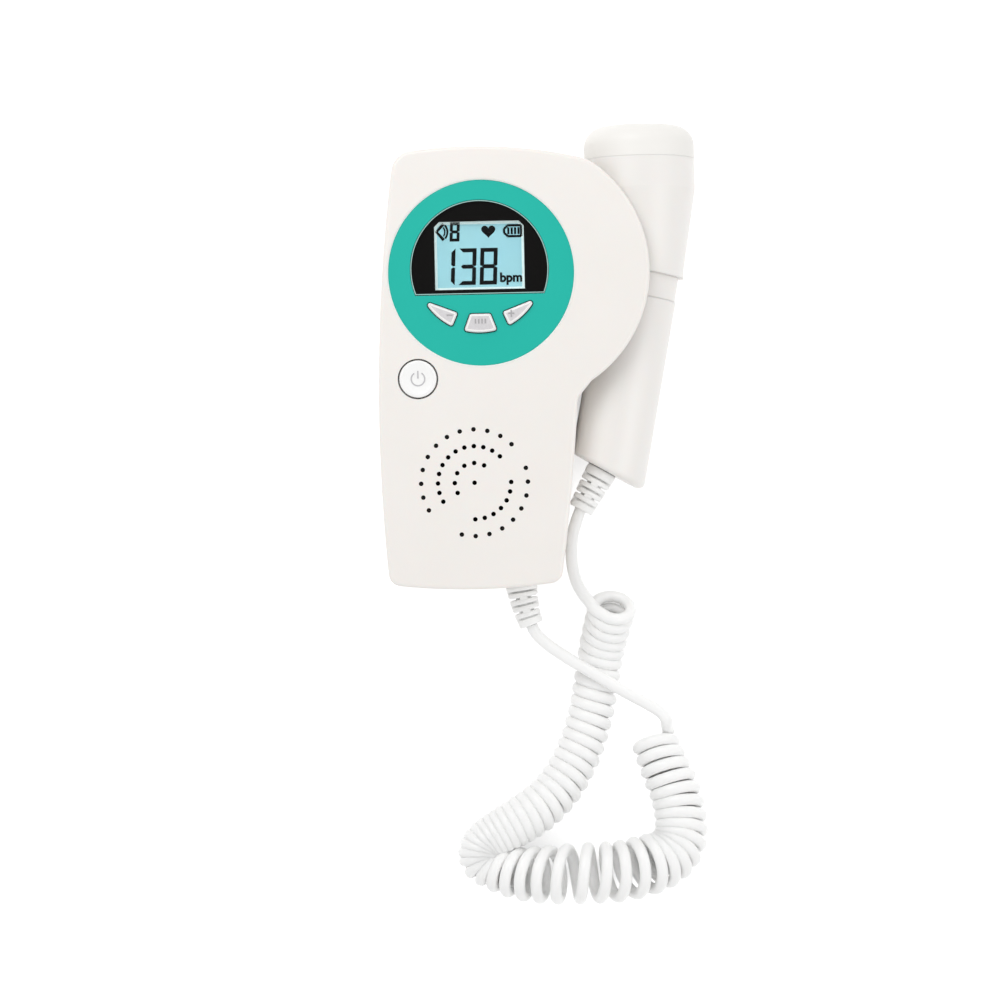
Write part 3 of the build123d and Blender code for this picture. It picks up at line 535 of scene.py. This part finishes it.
def band(outer, inner, low, high, inner_high=None):
    """Mesh of a closed band between two outlines with the same number of points; its top may slope."""
    build = bmesh.new()
    rings = [[build.verts.new((x * MM, y * MM, z * MM)) for x, y in outline]
             for outline, z in ((outer, low), (outer, high), (inner, inner_high or high), (inner, low))]
    for a, b in zip(rings, rings[1:] + rings[:1]):
        for i in range(len(outer)):
            j = (i + 1) % len(outer)
            build.faces.new((a[i], a[j], b[j], b[i]))
    return to_mesh(build)


def to_mesh(build):
    bmesh.ops.recalc_face_normals(build, faces=build.faces)
    mesh = bpy.data.meshes.new("flat")
    build.to_mesh(mesh)
    build.free()
    return mesh


def inset(outline, width):
    """A counterclockwise outline brought in by a width, with the same number of points."""
    result = []
    for i, (x, y) in enumerate(outline):
        a, c = outline[i - 1], outline[(i + 1) % len(outline)]
        before = Vector((a[1] - y, x - a[0])).normalized()
        after = Vector((y - c[1], c[0] - x)).normalized()
        move = (before + after) * width / (1 + before.dot(after))
        result.append((x + move.x, y + move.y))
    return result


def ribbon(points, width):
    """Outline of a bar of even width along an open line of (x, y) points."""
    left = []
    right = []
    for i, (x, y) in enumerate(points):
        before = points[max(i - 1, 0)]
        after = points[min(i + 1, len(points) - 1)]
        dx, dy = after[0] - before[0], after[1] - before[1]
        size = math.hypot(dx, dy)
        across = (-dy / size * width / 2, dx / size * width / 2)
        left.append((x + across[0], y + across[1]))
        right.append((x - across[0], y - across[1]))
    return right + left[::-1]


def arc(centre, radius, start, end, count=24):
    """Points on an arc, from start to end in degrees."""
    return [
        (centre[0] + radius * math.cos(math.radians(start + (end - start) * i / count)),
         centre[1] + radius * math.sin(math.radians(start + (end - start) * i / count)))
        for i in range(count + 1)
    ]


def moved(outline, x, y):
    return [(px + x, py + y) for px, py in outline]


def box_outline(x, y, width, height):
    return [(x - width / 2, y - height / 2), (x + width / 2, y - height / 2),
            (x + width / 2, y + height / 2), (x - width / 2, y + height / 2)]


print("outline helpers ready")

# %% [markdown]
# ## The display's rim
#
# The lit field has a paler rim, where the light guide shows beside the film. Its upper corners are cut. The
# rim is a thin band on the glass that follows the opening in the black print and goes a little under it.

# %% Display rim
DISPLAY_X = -0.4              # centre of the opening, mm
DISPLAY_Y = 34.15
DISPLAY_WIDTH = 27.2
DISPLAY_HEIGHT = 20.7
DISPLAY_CORNER = 1.5
RIM = 0.75                    # width that shows
RIM_UNDER = 0.8               # width under the print
FILM = 0.06                   # thickness of the films on the glass

half_x = DISPLAY_WIDTH / 2
half_y = DISPLAY_HEIGHT / 2
opening = moved([
    (-half_x, -half_y), (half_x, -half_y),
    (half_x, half_y - DISPLAY_CORNER), (half_x - DISPLAY_CORNER, half_y),
    (-half_x + DISPLAY_CORNER, half_y), (-half_x, half_y - DISPLAY_CORNER),
], DISPLAY_X, DISPLAY_Y)
glass_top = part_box("lcd_glass")[1].z / MM
rim_mesh = band(inset(opening, -RIM_UNDER), inset(opening, RIM), glass_top, glass_top + FILM)
new_piece("display_rim", rim_mesh, display_pale, "main", "lcd_glass")
print("display top", round(glass_top, 2), "mm")

# %% [markdown]
# ## Figures on the display
#
# A number on such a display is made of seven bars with mitred ends, and the whole figure leans a little.
# The bars at the bottom and the left mirror those at the top and the right, so only three shapes are
# written down. A table says which bars are on for a digit.

# %% Seven-bar digits
BARS_ON = {"1": "bc", "3": "abcdg", "8": "abcdefg"}
LEAN = math.tan(math.radians(2.5))
TIP_GAP = 0.09                # how far a side bar's tip stays off the middle line, as a share of the stroke
SIDE_GAP = 0.3                # and how far its outer corner does


def digit(character, centre, width, height, stroke):
    """Outlines of the bars of one digit."""
    x, y, w = width / 2, height / 2, stroke
    top = [(-x, y), (-x + w, y - w), (x - w, y - w), (x, y)]
    right = [(x, y), (x - w, y - w), (x - w, w / 2), (x - w / 2, w * TIP_GAP), (x, w * SIDE_GAP)]
    middle = [
        (-x + w / 2, 0), (-x + w, -w / 2), (x - w, -w / 2), (x - w / 2, 0), (x - w, w / 2), (-x + w, w / 2),
    ]
    shapes = {"a": (top, 1, 1), "d": (top, 1, -1), "b": (right, 1, 1), "c": (right, 1, -1),
              "f": (right, -1, 1), "e": (right, -1, -1), "g": (middle, 1, 1)}
    outlines = []
    for name in BARS_ON[character]:
        shape, flip_x, flip_y = shapes[name]
        outlines.append([(px * flip_x + py * flip_y * LEAN, py * flip_y) for px, py in shape])
    return [moved(outline, *centre) for outline in outlines]


DIGIT_SIZE = (5.25, 11.15)
DIGIT_STROKE = 1.2
DIGIT_PITCH = 6.42
NUMBER_X = 2.75               # centre of the last digit from the display's centre
NUMBER_Y = -3.25
LEVEL_SIZE = (3.0, 5.85)      # the small digit for the loudness
LEVEL_STROKE = 0.9
LEVEL_CENTRE = (-7.37, 7.4)

figures = []
for i, character in enumerate("138"):
    figures += digit(character, (NUMBER_X - (2 - i) * DIGIT_PITCH, NUMBER_Y), *DIGIT_SIZE, DIGIT_STROKE)
figures += digit("8", LEVEL_CENTRE, *LEVEL_SIZE, LEVEL_STROKE)
print("bars of digits", len(figures))

# %% [markdown]
# Above the number stand three signs: a loudspeaker for the loudness, a heart that blinks with each beat and
# the battery's charge. They are drawn from lines of even width, a plain curve and small boxes.

# %% Signs
# loudspeaker: an open horn and two sound waves
HORN_LINE = [(-10.75, 4.95), (-12.9, 7.46), (-10.75, 9.9)]
WAVE_CENTRE = (-12.6, 7.46)
figures.append(ribbon(HORN_LINE, 0.95))
figures.append(ribbon(arc(WAVE_CENTRE, 2.2, -38, 38), 0.45))
figures.append(ribbon(arc(WAVE_CENTRE, 3.0, -42, 42), 0.6))

# heart, from the usual curve in sines and cosines
HEART = 2.15                  # half its width
HEART_CENTRE = (2.85, 7.5)
HEART_POINTS = 48
heart = [
    (HEART * math.sin(t) ** 3,
     HEART * (13 * math.cos(t) - 5 * math.cos(2 * t) - 2 * math.cos(3 * t) - math.cos(4 * t)) / 16)
    for t in [math.tau * (k + 0.5) / HEART_POINTS for k in range(HEART_POINTS)]
]
figures.append(moved(heart, *HEART_CENTRE))

# battery: an outline with a neck, and four bars
BATTERY = (10.3, 7.4)
BATTERY_STROKE = 0.72
BATTERY_BAR = (0.66, 2.1)
battery_line = [
    (2.55, 1.65), (-1.7, 1.65), (-2.05, 1.0), (-2.65, 0.8), (-2.65, -0.8), (-2.05, -1.0), (-1.7, -1.65),
    (2.55, -1.65), (2.55, 1.65),
]
for a, b in zip(battery_line, battery_line[1:]):
    figures.append(ribbon(moved([a, b], *BATTERY), BATTERY_STROKE))
for i in range(4):
    figures.append(box_outline(BATTERY[0] - 1.35 + 1.03 * i, BATTERY[1], *BATTERY_BAR))

display_ink = moulded("liquid_crystal_dark", "020406", "04070A", 0.5, grain=0.5, depth=0.001, edge=0.01,
                      **{"Specular IOR Level": 0.0})
ink_low = glass_top + 0.005   # just off the glass
ink_high = glass_top + FILM
figure_mesh = prism([moved(outline, DISPLAY_X, DISPLAY_Y) for outline in figures], ink_low, ink_high)
new_piece("display_figures", figure_mesh, display_ink, "main", "window_print")
print("digits and signs", len(figures), "outlines")

# %% [markdown]
# The unit beside the number is the only word: beats per minute. A text object is turned into a mesh before
# it gets its place.

# %% Unit
WORD_SIZE = 3.9
WORD_BOLD = 0.15              # how far the letters' outline is moved out
WORD_X = 9.5                  # from the display's centre
WORD_Y = -6.85


def word(name, text, height, centre, low, high, material, body, slot):
    """Flat lettering with its middle at a point, all in mm."""
    curve = bpy.data.curves.new(name, "FONT")
    curve.body = text
    curve.align_x = "CENTER"
    curve.align_y = "CENTER"
    curve.size = height
    curve.offset = WORD_BOLD
    curve.extrude = (high - low) / 2
    curve.resolution_u = 6
    holder = bpy.data.objects.new(name, curve)
    mesh = bpy.data.meshes.new_from_object(holder)
    bpy.data.objects.remove(holder)
    mesh.transform(Matrix.Scale(MM, 4) @ Matrix.Translation((*centre, (low + high) / 2)))
    build = bmesh.new()
    build.from_mesh(mesh)
    bmesh.ops.remove_doubles(build, verts=build.verts, dist=1e-7)
    bmesh.ops.recalc_face_normals(build, faces=build.faces)
    build.to_mesh(mesh)
    build.free()
    return new_piece(name, mesh, material, body, slot)


word("display_unit", "bpm", WORD_SIZE, (DISPLAY_X + WORD_X, DISPLAY_Y + WORD_Y), ink_low, ink_high,
     display_ink, "main", "window_print")
print("unit made")

# %% [markdown]
# ## Marks on the keys
#
# Each key has a raised rim around a duller field with small grey marks. The rim is whiter than the key: a
# painted highlight on the key's edge. It follows the key's own top face, whose outline is read from the mesh.

# %% Key rims and marks
mark_grey = moulded("key_mark_grey", "A8A6A8", "B8B6B8", 0.35, grain=0.4, depth=0.004, edge=0.03)
# whiter than the case and the keys: painted highlight on the key rims and on the face plate's edge
highlight_white = moulded("edge_white_painted_highlight", "F6F5F3", "FBFAF8", 0.2, grain=0.4, depth=0.002, edge=0.05)
SUNK = 0.05                   # how far marks and rims reach into the face below them
MARK_RISE = 0.09
KEY_RIM = 0.42
KEY_RIM_RISE = 0.05
STROKE = 0.45                 # of the marks on the keys and the power sign
MARK_LENGTH = 1.8
ARM_LENGTH = 0.87             # of the plus above and below its level bar


def top_outline(name):
    """Counterclockwise outline of a node's flat top face, in mm, and its height."""
    build = bmesh.new()
    build.from_mesh(nodes[name].data)
    height = max(v.co.z for v in build.verts)
    top = {f for f in build.faces if min(v.co.z for v in f.verts) > height - 1e-6}
    follow = {}
    for face in top:
        for loop in face.loops:
            if not any(other in top for other in loop.edge.link_faces if other is not face):
                follow[loop.vert.co.to_tuple(7)] = loop.link_loop_next.vert.co.to_tuple(7)
    point = next(iter(follow))
    outline = []
    while point in follow:
        outline.append((point[0] / MM, point[1] / MM))
        point = follow.pop(point)
    build.free()
    return outline, height / MM


def key_mark(name, key, outlines):
    """A raised mark on a key and a whiter rim round the key's face, a painted highlight on its edge."""
    outline, top = top_outline(key)
    new_piece(name, prism(outlines, top - SUNK, top + MARK_RISE), mark_grey, key, "key_plastic")
    # the rim's whiter colour is a painted highlight along the key's edge
    rim = band(outline, inset(outline, KEY_RIM), top - SUNK, top + KEY_RIM_RISE)
    new_piece(name + "_rim", rim, highlight_white, key, "key_plastic")


key_mark("mark_minus", "key_left", [box_outline(-9.8, 16.0, MARK_LENGTH, STROKE)])
key_mark("mark_plus", "key_right", [
    box_outline(8.9, 16.2, MARK_LENGTH, STROKE),
    box_outline(8.9, 16.86, STROKE, ARM_LENGTH),
    box_outline(8.9, 15.54, STROKE, ARM_LENGTH),
])
key_mark("mark_bars", "key_middle", [
    box_outline(-0.5 + x, 14.0, STROKE, 1.4) for x in (-1.5, -0.5, 0.5, 1.5)
])
print("key rims and marks made")

# %% [markdown]
# ## Edges of the window and the face plate
#
# The window is cut from sheet, and a thin pale line along its edge is a painted highlight. The face plate
# ends in a narrow slanted band, whiter than the case: a painted highlight, which also covers the shade in the
# groove round the plate. Both are bands along an arc.

# %% Two thin edges
# pale teal band along the window's edge: painted highlight
window_edge_highlight = moulded("window_edge_painted_highlight", "A2D0CA", "B4DAD5", 0.25, grain=0.4, depth=0.002, edge=0.05)
WINDOW_CENTRE = (-0.5, 29.9)
WINDOW_RADIUS = 20.9
WINDOW_EDGE = 0.24            # width of the sheet's pale edge
window_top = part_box("display_window")[1].z / MM
window_line = arc(WINDOW_CENTRE, WINDOW_RADIUS, -21, 201, 90)
window_band = band(window_line, inset(window_line, WINDOW_EDGE), window_top - 0.02, window_top + 0.04)
new_piece("window_edge", window_band, window_edge_highlight, "main", "window_acrylic")

PLATE_CENTRE = (0.0, 28.8)
PLATE_RADIUS = 28.8
PLATE_EDGE = 0.58             # width of the plate's slanted edge
plate_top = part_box("face_ring")[1].z / MM
case_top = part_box("front_case")[1].z / MM
# the band is whiter than the case: painted highlight round the plate, laid over the groove's shade
plate_line = arc(PLATE_CENTRE, PLATE_RADIUS, 0, 357, 119)
plate_band = band(plate_line, inset(plate_line, PLATE_EDGE), plate_top - 0.4, case_top + 0.03, plate_top)
new_piece("plate_edge", plate_band, highlight_white, "main", "case_abs")
print("plate edge from", round(plate_top, 2), "to", round(case_top + 0.03, 2), "mm")

# %% [markdown]
# ## Power sign
#
# The power button has a shallow dish with a printed sign: a ring that is open at the top, with a bar.

# %% Sign in the dish
sign_grey = moulded("pad_print_grey", "BDBCBE", "C6C5C7", 0.4, grain=0.4, depth=0.004, edge=0.02)
POWER_CENTRE = (-19.8, -3.1)
DISH_DEPTH = 0.45
SIGN_RADIUS = 2.05
SIGN_RISE = 0.13
dish_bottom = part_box("power_button")[1].z / MM - DISH_DEPTH
sign = [
    ribbon(arc(POWER_CENTRE, SIGN_RADIUS, 122, 418, 40), STROKE),
    box_outline(POWER_CENTRE[0], POWER_CENTRE[1] + 1.75, STROKE, 3.2),
]
sign_mesh = prism(sign, dish_bottom - SUNK, dish_bottom + SIGN_RISE)
new_piece("power_sign", sign_mesh, sign_grey, "power_button", "key_plastic")
print("power sign made at", round(dish_bottom, 2), "mm")

# %% [markdown]
# ## Strain reliefs
#
# A strain relief is a soft sleeve that stops the cord from kinking where it leaves a housing. It is a stack
# of rings on a core. Narrow bridges join each ring to the next, in turn at the two sides and at the front
# and back, so that the sleeve bends both ways. That repeats by a rule, so Geometry Nodes make it: a line of
# points along the axis with a ring on each, a bridge in each gap, every second one turned by a quarter, and
# in the end the whole stack is bent. The first and the last ring are wider bands.

# %% Geometry nodes for a strain relief
relief_white = moulded("pvc_soft_white", "FBFBFA", "FEFEFD", 0.45, grain=0.8, depth=0.01, edge=0.1, ior=1.52)
RELIEF_SIZES = (
    "Pitch", "Slot", "Base Radius", "Tip Radius", "Core Radius", "Bridge Width", "Start Band", "End Band",
    "Bend",
)
RING_WIDTH = 0.56             # of the base radius
RING_ROUNDING = 0.35          # of a ring's thickness
BRIDGE_LENGTH = 1.93          # of the base radius
BRIDGE_HEIGHT = 1.6           # of the slot
CORE_SHORT = 0.3              # how much shorter the core is than the sleeve, mm


def relief_tree(material):
    """Tree that makes a sleeve along +Z from the origin, in millimetres, bent towards +X."""
    tree = bpy.data.node_groups.new("strain_relief", "GeometryNodeTree")
    tree.interface.new_socket("Geometry", in_out="OUTPUT", socket_type="NodeSocketGeometry")
    tree.interface.new_socket("Rings", in_out="INPUT", socket_type="NodeSocketInt")
    for label in RELIEF_SIZES:
        tree.interface.new_socket(label, in_out="INPUT", socket_type="NodeSocketFloat")
    given = add(tree, "NodeGroupInput").outputs

    def calc(operation, first, second):
        return maths(tree, operation, first, second)

    def vector(x=0.0, y=0.0, z=0.0):
        return add(tree, "ShaderNodeCombineXYZ", {0: x, 1: y, 2: z}).outputs[0]

    pitch, slot = given["Pitch"], given["Slot"]
    thick = calc("SUBTRACT", pitch, slot)
    half = calc("MULTIPLY", thick, 0.5)
    index = add(tree, "GeometryNodeInputIndex").outputs[0]
    last = calc("SUBTRACT", given["Rings"], 1.0)
    share = calc("DIVIDE", index, last)
    first_ring = calc("COMPARE", index, 0.0)
    last_ring = calc("COMPARE", index, last)
    more_first = calc("SUBTRACT", given["Start Band"], thick)
    more_last = calc("SUBTRACT", given["End Band"], thick)
    points = add(tree, "GeometryNodeMeshLine", {
        "Count": given["Rings"], "Start Location": vector(z=calc("SUBTRACT", given["Start Band"], half)),
        "Offset": vector(z=pitch),
    })
    # rings
    wide = calc("MULTIPLY", given["Base Radius"], RING_WIDTH)
    path = add(tree, "GeometryNodeCurvePrimitiveCircle", {
        "Resolution": 48, "Radius": calc("SUBTRACT", given["Base Radius"], calc("MULTIPLY", wide, 0.5)),
    })
    section = add(tree, "GeometryNodeCurvePrimitiveQuadrilateral", {"Width": wide, "Height": thick})
    rounded = add(tree, "GeometryNodeFilletCurve", {
        "Curve": section.outputs[0], "Radius": calc("MULTIPLY", thick, RING_ROUNDING), "Count": 3,
    }, mode="POLY")
    ring = add(tree, "GeometryNodeCurveToMesh", {
        "Curve": path.outputs[0], "Profile Curve": rounded.outputs[0],
    })
    taper = add(tree, "ShaderNodeMapRange", {
        "Value": share, "To Min": 1.0, "To Max": calc("DIVIDE", given["Tip Radius"], given["Base Radius"]),
    }).outputs[0]
    grown = calc("ADD", calc("MULTIPLY", first_ring, more_first), calc("MULTIPLY", last_ring, more_last))
    tall = calc("ADD", 1.0, calc("DIVIDE", grown, thick))
    shift = calc("MULTIPLY", calc("SUBTRACT", calc("MULTIPLY", last_ring, more_last),
                                  calc("MULTIPLY", first_ring, more_first)), 0.5)
    placed = add(tree, "GeometryNodeSetPosition", {"Geometry": points.outputs[0], "Offset": vector(z=shift)})
    rings = add(tree, "GeometryNodeInstanceOnPoints", {
        "Points": placed.outputs[0], "Instance": ring.outputs[0], "Scale": vector(taper, taper, tall),
    })
    # bridges
    gaps = add(tree, "GeometryNodeSetPosition", {
        "Geometry": points.outputs[0], "Offset": vector(z=calc("MULTIPLY", pitch, 0.5)),
    })
    inner = add(tree, "GeometryNodeDeleteGeometry", {"Geometry": gaps.outputs[0], "Selection": last_ring},
                domain="POINT")
    odd = calc("MODULO", index, 2.0)
    bridge_length = calc("MULTIPLY", given["Base Radius"], BRIDGE_LENGTH)
    bridge_height = calc("MULTIPLY", slot, BRIDGE_HEIGHT)
    bar = add(tree, "GeometryNodeMeshCube", {
        "Size": vector(bridge_length, given["Bridge Width"], bridge_height),
    })
    bridges = add(tree, "GeometryNodeInstanceOnPoints", {
        "Points": inner.outputs[0], "Instance": bar.outputs[0],
        "Rotation": vector(z=calc("MULTIPLY", odd, math.pi / 2)), "Scale": vector(taper, 1.0, 1.0),
    })
    # core
    length = calc("ADD", calc("ADD", given["Start Band"], given["End Band"]),
                  calc("SUBTRACT", calc("MULTIPLY", pitch, last), thick))
    core = add(tree, "GeometryNodeMeshCylinder", {
        "Vertices": 32, "Radius": given["Core Radius"], "Depth": calc("SUBTRACT", length, CORE_SHORT),
        "Side Segments": 12,
    })
    raised = add(tree, "GeometryNodeTransform", {
        "Geometry": core.outputs[0], "Translation": vector(z=calc("MULTIPLY", length, 0.5)),
    })
    joined = add(tree, "GeometryNodeJoinGeometry")
    for part in (raised, bridges, rings):
        tree.links.new(part.outputs[0], joined.inputs[0])
    real = add(tree, "GeometryNodeRealizeInstances", {"Geometry": joined.outputs[0]})
    # bend: each level turns about a line beside the sleeve
    place = add(tree, "GeometryNodeInputPosition").outputs[0]
    split = add(tree, "ShaderNodeSeparateXYZ", {0: place}).outputs
    turned = add(tree, "ShaderNodeVectorRotate", {
        "Vector": vector(split[0], split[1]), "Center": vector(calc("DIVIDE", 1.0, given["Bend"])),
        "Axis": (0, 1, 0), "Angle": calc("MULTIPLY", split[2], given["Bend"]),
    }, rotation_type="AXIS_ANGLE")
    bent = add(tree, "GeometryNodeSetPosition", {"Geometry": real.outputs[0], "Position": turned.outputs[0]})
    coloured = add(tree, "GeometryNodeSetMaterial", {"Geometry": bent.outputs[0], "Material": material})
    add(tree, "NodeGroupOutput", {0: coloured.outputs[0]})
    return tree


relief_nodes = relief_tree(relief_white)
print("strain relief tree", len(relief_nodes.nodes), "nodes")

# %% [markdown]
# Both sleeves use the tree, each with its own sizes. The result is turned into a plain mesh, so that no
# modifier is left, and then laid along the cord's way out of its housing.

# %% Sleeves at the case and at the probe


def strain_relief(name, node, body, origin, way, rings, sizes):
    """Evaluate the tree with the given sizes and put the sleeve at its origin, along its way."""
    holder = bpy.data.objects.new(name, bpy.data.meshes.new(name))
    bpy.context.scene.collection.objects.link(holder)
    modifier = holder.modifiers.new("sleeve", "NODES")
    modifier.node_group = relief_nodes
    values = dict(zip(RELIEF_SIZES, sizes), Rings=rings)
    for item in relief_nodes.interface.items_tree:
        if item.in_out == "INPUT":
            modifier[item.identifier] = values[item.name]
    bpy.context.view_layer.update()
    mesh = bpy.data.meshes.new_from_object(holder.evaluated_get(bpy.context.evaluated_depsgraph_get()))
    bpy.data.objects.remove(holder)
    z_way = Vector(way).normalized()
    y_way = Vector((0, 0, 1))
    place = Matrix((y_way.cross(z_way), y_way, z_way)).transposed().to_4x4()
    place.translation = Vector(origin)
    mesh.transform(Matrix.Scale(MM, 4) @ place)
    mesh.shade_smooth()
    mesh.set_sharp_from_angle(angle=math.radians(45))
    return new_piece(name, mesh, relief_white, body, "relief_rubber", node)


strain_relief("relief_case", "body_strain_relief", "main", (10.4, -66.85, 20.0), (0.105, -0.9945, 0), 6,
              (2.05, 0.55, 4.85, 3.8, 2.4, 2.4, 1.5, 2.3, 0.02))
strain_relief("relief_probe", "probe_strain_relief", "probe", (36.19, -31.54, 17.45), (-0.5, -0.866, 0), 6,
              (2.1, 0.55, 4.8, 3.95, 2.4, 2.4, 3.0, 2.2, 0.0005))
print("strain reliefs placed")

# %% [markdown]
# ## Pieces inside and at the back
#
# These show only through an opening, at the back or with the battery door off, but each gets the finish
# of what it is: solder mask on glass-fibre board, zinc on steel, treated paper, a wrapped battery can.

# %% Metals, boards and the rest


def plated(name, low, high, rough, grain=0.3):
    """Plated or painted metal with the fine marks of forming."""
    material, tree, out = blank_material(name)
    coords = millimetres(tree)
    marks = add(tree, "ShaderNodeTexNoise", {"Vector": coords, "Scale": 1 / grain, "Detail": 5.0})
    shine = add(tree, "ShaderNodeMapRange", {
        "Value": marks.outputs[0], "To Min": rough - 0.08, "To Max": rough + 0.08,
    })
    bump = add(tree, "ShaderNodeBump", {"Height": marks.outputs[0], "Distance": 0.01 * MM, "Strength": 0.4})
    shader = add(tree, "ShaderNodeBsdfPrincipled", {
        "Base Color": mixed_colour(tree, marks.outputs[0], low, high), "Metallic": 1.0,
        "Roughness": shine.outputs[0], "Normal": bump.outputs[0],
    })
    tree.links.new(shader.outputs[0], out.inputs[0])
    return material


zinc_steel = plated("steel_zinc_plated", "A9ABAF", "C2C4C8", 0.32)
black_steel = moulded("steel_painted_black", "131313", "1B1B1B", 0.4, grain=0.3)
finish_node(zinc_steel, "case_screws", "board_screws", "power_switch")
finish_node(black_steel, "speaker_frame", "speaker_magnet")
finish_node(moulded("paper_treated_black", "0E0E0E", "171717", 0.8, grain=0.2, depth=0.05), "speaker_cone")
finish_node(moulded("board_green_mask", "0C4A26", "12592F", 0.35, grain=1.0), "main_board", "probe_board")
finish_node(moulded("silicone_grey", "8C8E90", "989A9C", 0.6), "key_pad")
finish_node(moulded("abs_black_inner", "161616", "1E1E1E", 0.5), "lcd_frame", "battery_snap")
finish_node(plated("battery_can_dark", "25262A", "34363B", 0.35, grain=1.0), "battery_9v")
finish_node(moulded("piezo_ceramic", "CFC6A8", "DAD2B8", 0.55), "transducer_crystals")
finish_node(moulded("cast_backing_rubber", "2A2A2C", "333336", 0.7), "transducer_backing")
print("inner pieces finished")

# %% [markdown]
# ## The cord's jacket
#
# The jacket is extruded from soft PVC or polyurethane: smooth along its length, a little glossier than the
# strain reliefs, and very slightly see-through, which softens its shadows.

# %% Cord finish
jacket_depth = {
    "Subsurface Weight": 0.3, "Subsurface Radius": (1.0, 0.97, 0.94), "Subsurface Scale": 1.5 * MM,
}
jacket = moulded("polyurethane_jacket_white", "FBFBFA", "FEFEFD", 0.36, grain=1.6, depth=0.01, edge=0.01,
                 ior=1.5, **jacket_depth)
for piece in (body_cord, curly_cord):
    piece.data.materials.clear()
    piece.data.materials.append(jacket)
print("cord finished")

# %% [markdown]
# ## Floor
#
# The monitor lies on a pale sheet in soft light. The floor looks white to the camera, and in mirrors and
# glass, because part of its brightness is added only for those rays; it still takes the shadow, and it
# throws no more light on the object than a real white sheet.

# %% Floor
FLOOR_SIZE = 6.0              # metres
FLOOR_LEVEL = -0.0003         # metres, just under the lowest point
FLOOR_EXTRA = 0.48            # brightness that only the camera, mirrors and glass see

floor_mesh = bpy.data.meshes.new("floor")
floor_corners = [(x, y, FLOOR_LEVEL) for x, y in box_outline(0.0, 0.0, FLOOR_SIZE, FLOOR_SIZE)]
floor_mesh.from_pydata(floor_corners, [], [(0, 1, 2, 3)])
floor = bpy.data.objects.new("floor", floor_mesh)
bpy.context.scene.collection.objects.link(floor)

floor_paper, tree, out = blank_material("paper_sheet_white")
ray = add(tree, "ShaderNodeLightPath").outputs
seen = maths(tree, "MAXIMUM", ray["Is Camera Ray"], ray["Is Glossy Ray"])
seen = maths(tree, "MAXIMUM", seen, ray["Is Transmission Ray"])
paper = add(tree, "ShaderNodeBsdfPrincipled", {
    "Base Color": linear("F6F6F6"), "Roughness": 0.9,
    "Emission Color": (1, 1, 1, 1), "Emission Strength": maths(tree, "MULTIPLY", seen, FLOOR_EXTRA),
})
tree.links.new(paper.outputs[0], out.inputs[0])
floor_mesh.materials.append(floor_paper)
print("floor laid")

# %% [markdown]
# ## Surrounding
#
# A bright even surrounding gives most of the light, at a plain level. What the glossy front mirrors is the
# part of the room straight above it. A studio hangs the camera there in front of a dark card, so mirrored
# rays see the surrounding darken towards the zenith.

# %% World
SURROUNDING = 0.75            # brightness that lights the object
CARD = 0.12                   # brightness of the dark card

world = bpy.data.worlds.new("studio")
bpy.context.scene.world = world
world.use_nodes = True
tree = world.node_tree
tree.nodes.clear()
ray = add(tree, "ShaderNodeLightPath").outputs
direction = add(tree, "ShaderNodeTexCoord").outputs["Generated"]
card = add(tree, "ShaderNodeMapRange", {
    "Value": add(tree, "ShaderNodeSeparateXYZ", {0: direction}).outputs[2],
    "From Min": 0.8, "From Max": 0.97, "To Min": 1.0, "To Max": CARD,
}, interpolation_type="SMOOTHSTEP").outputs[0]
spread = add(tree, "ShaderNodeMapRange", {
    "Value": ray["Is Camera Ray"], "To Min": SURROUNDING, "To Max": 1.0,
}).outputs[0]
mirrored = maths(tree, "MULTIPLY", ray["Is Glossy Ray"], card)
other = maths(tree, "MULTIPLY", maths(tree, "SUBTRACT", 1.0, ray["Is Glossy Ray"]), spread)
level = maths(tree, "ADD", other, mirrored)
sky = add(tree, "ShaderNodeBackground", {"Color": (1, 1, 1, 1), "Strength": level})
tree.links.new(sky.outputs[0], add(tree, "ShaderNodeOutputWorld").inputs[0])
print("surrounding set to", SURROUNDING)

# %% [markdown]
# ## Lamps
#
# A soft lamp from the upper left models the forms, and a weaker, wider one from the right fills the gap
# beside the probe. With the surrounding they give a level at which a colour renders about as it is written.

# %% Two soft lamps
LAMP_AIM = Vector((0.01, -0.04, 0.0))


def soft_lamp(name, place, size, power):
    """Square lamp that points at the middle of the object."""
    data = bpy.data.lights.new(name, "AREA")
    data.size = size
    data.energy = power
    lamp = bpy.data.objects.new(name, data)
    lamp.location = place
    lamp.rotation_euler = (LAMP_AIM - Vector(place)).to_track_quat("-Z", "Y").to_euler()
    bpy.context.scene.collection.objects.link(lamp)


soft_lamp("softbox_key", (-0.18, 0.36, 0.54), 0.33, 1.2)
soft_lamp("softbox_fill", (0.55, -0.25, 0.6), 0.5, 0.85)
bpy.context.scene.view_settings.view_transform = "Standard"
print("lamps set")
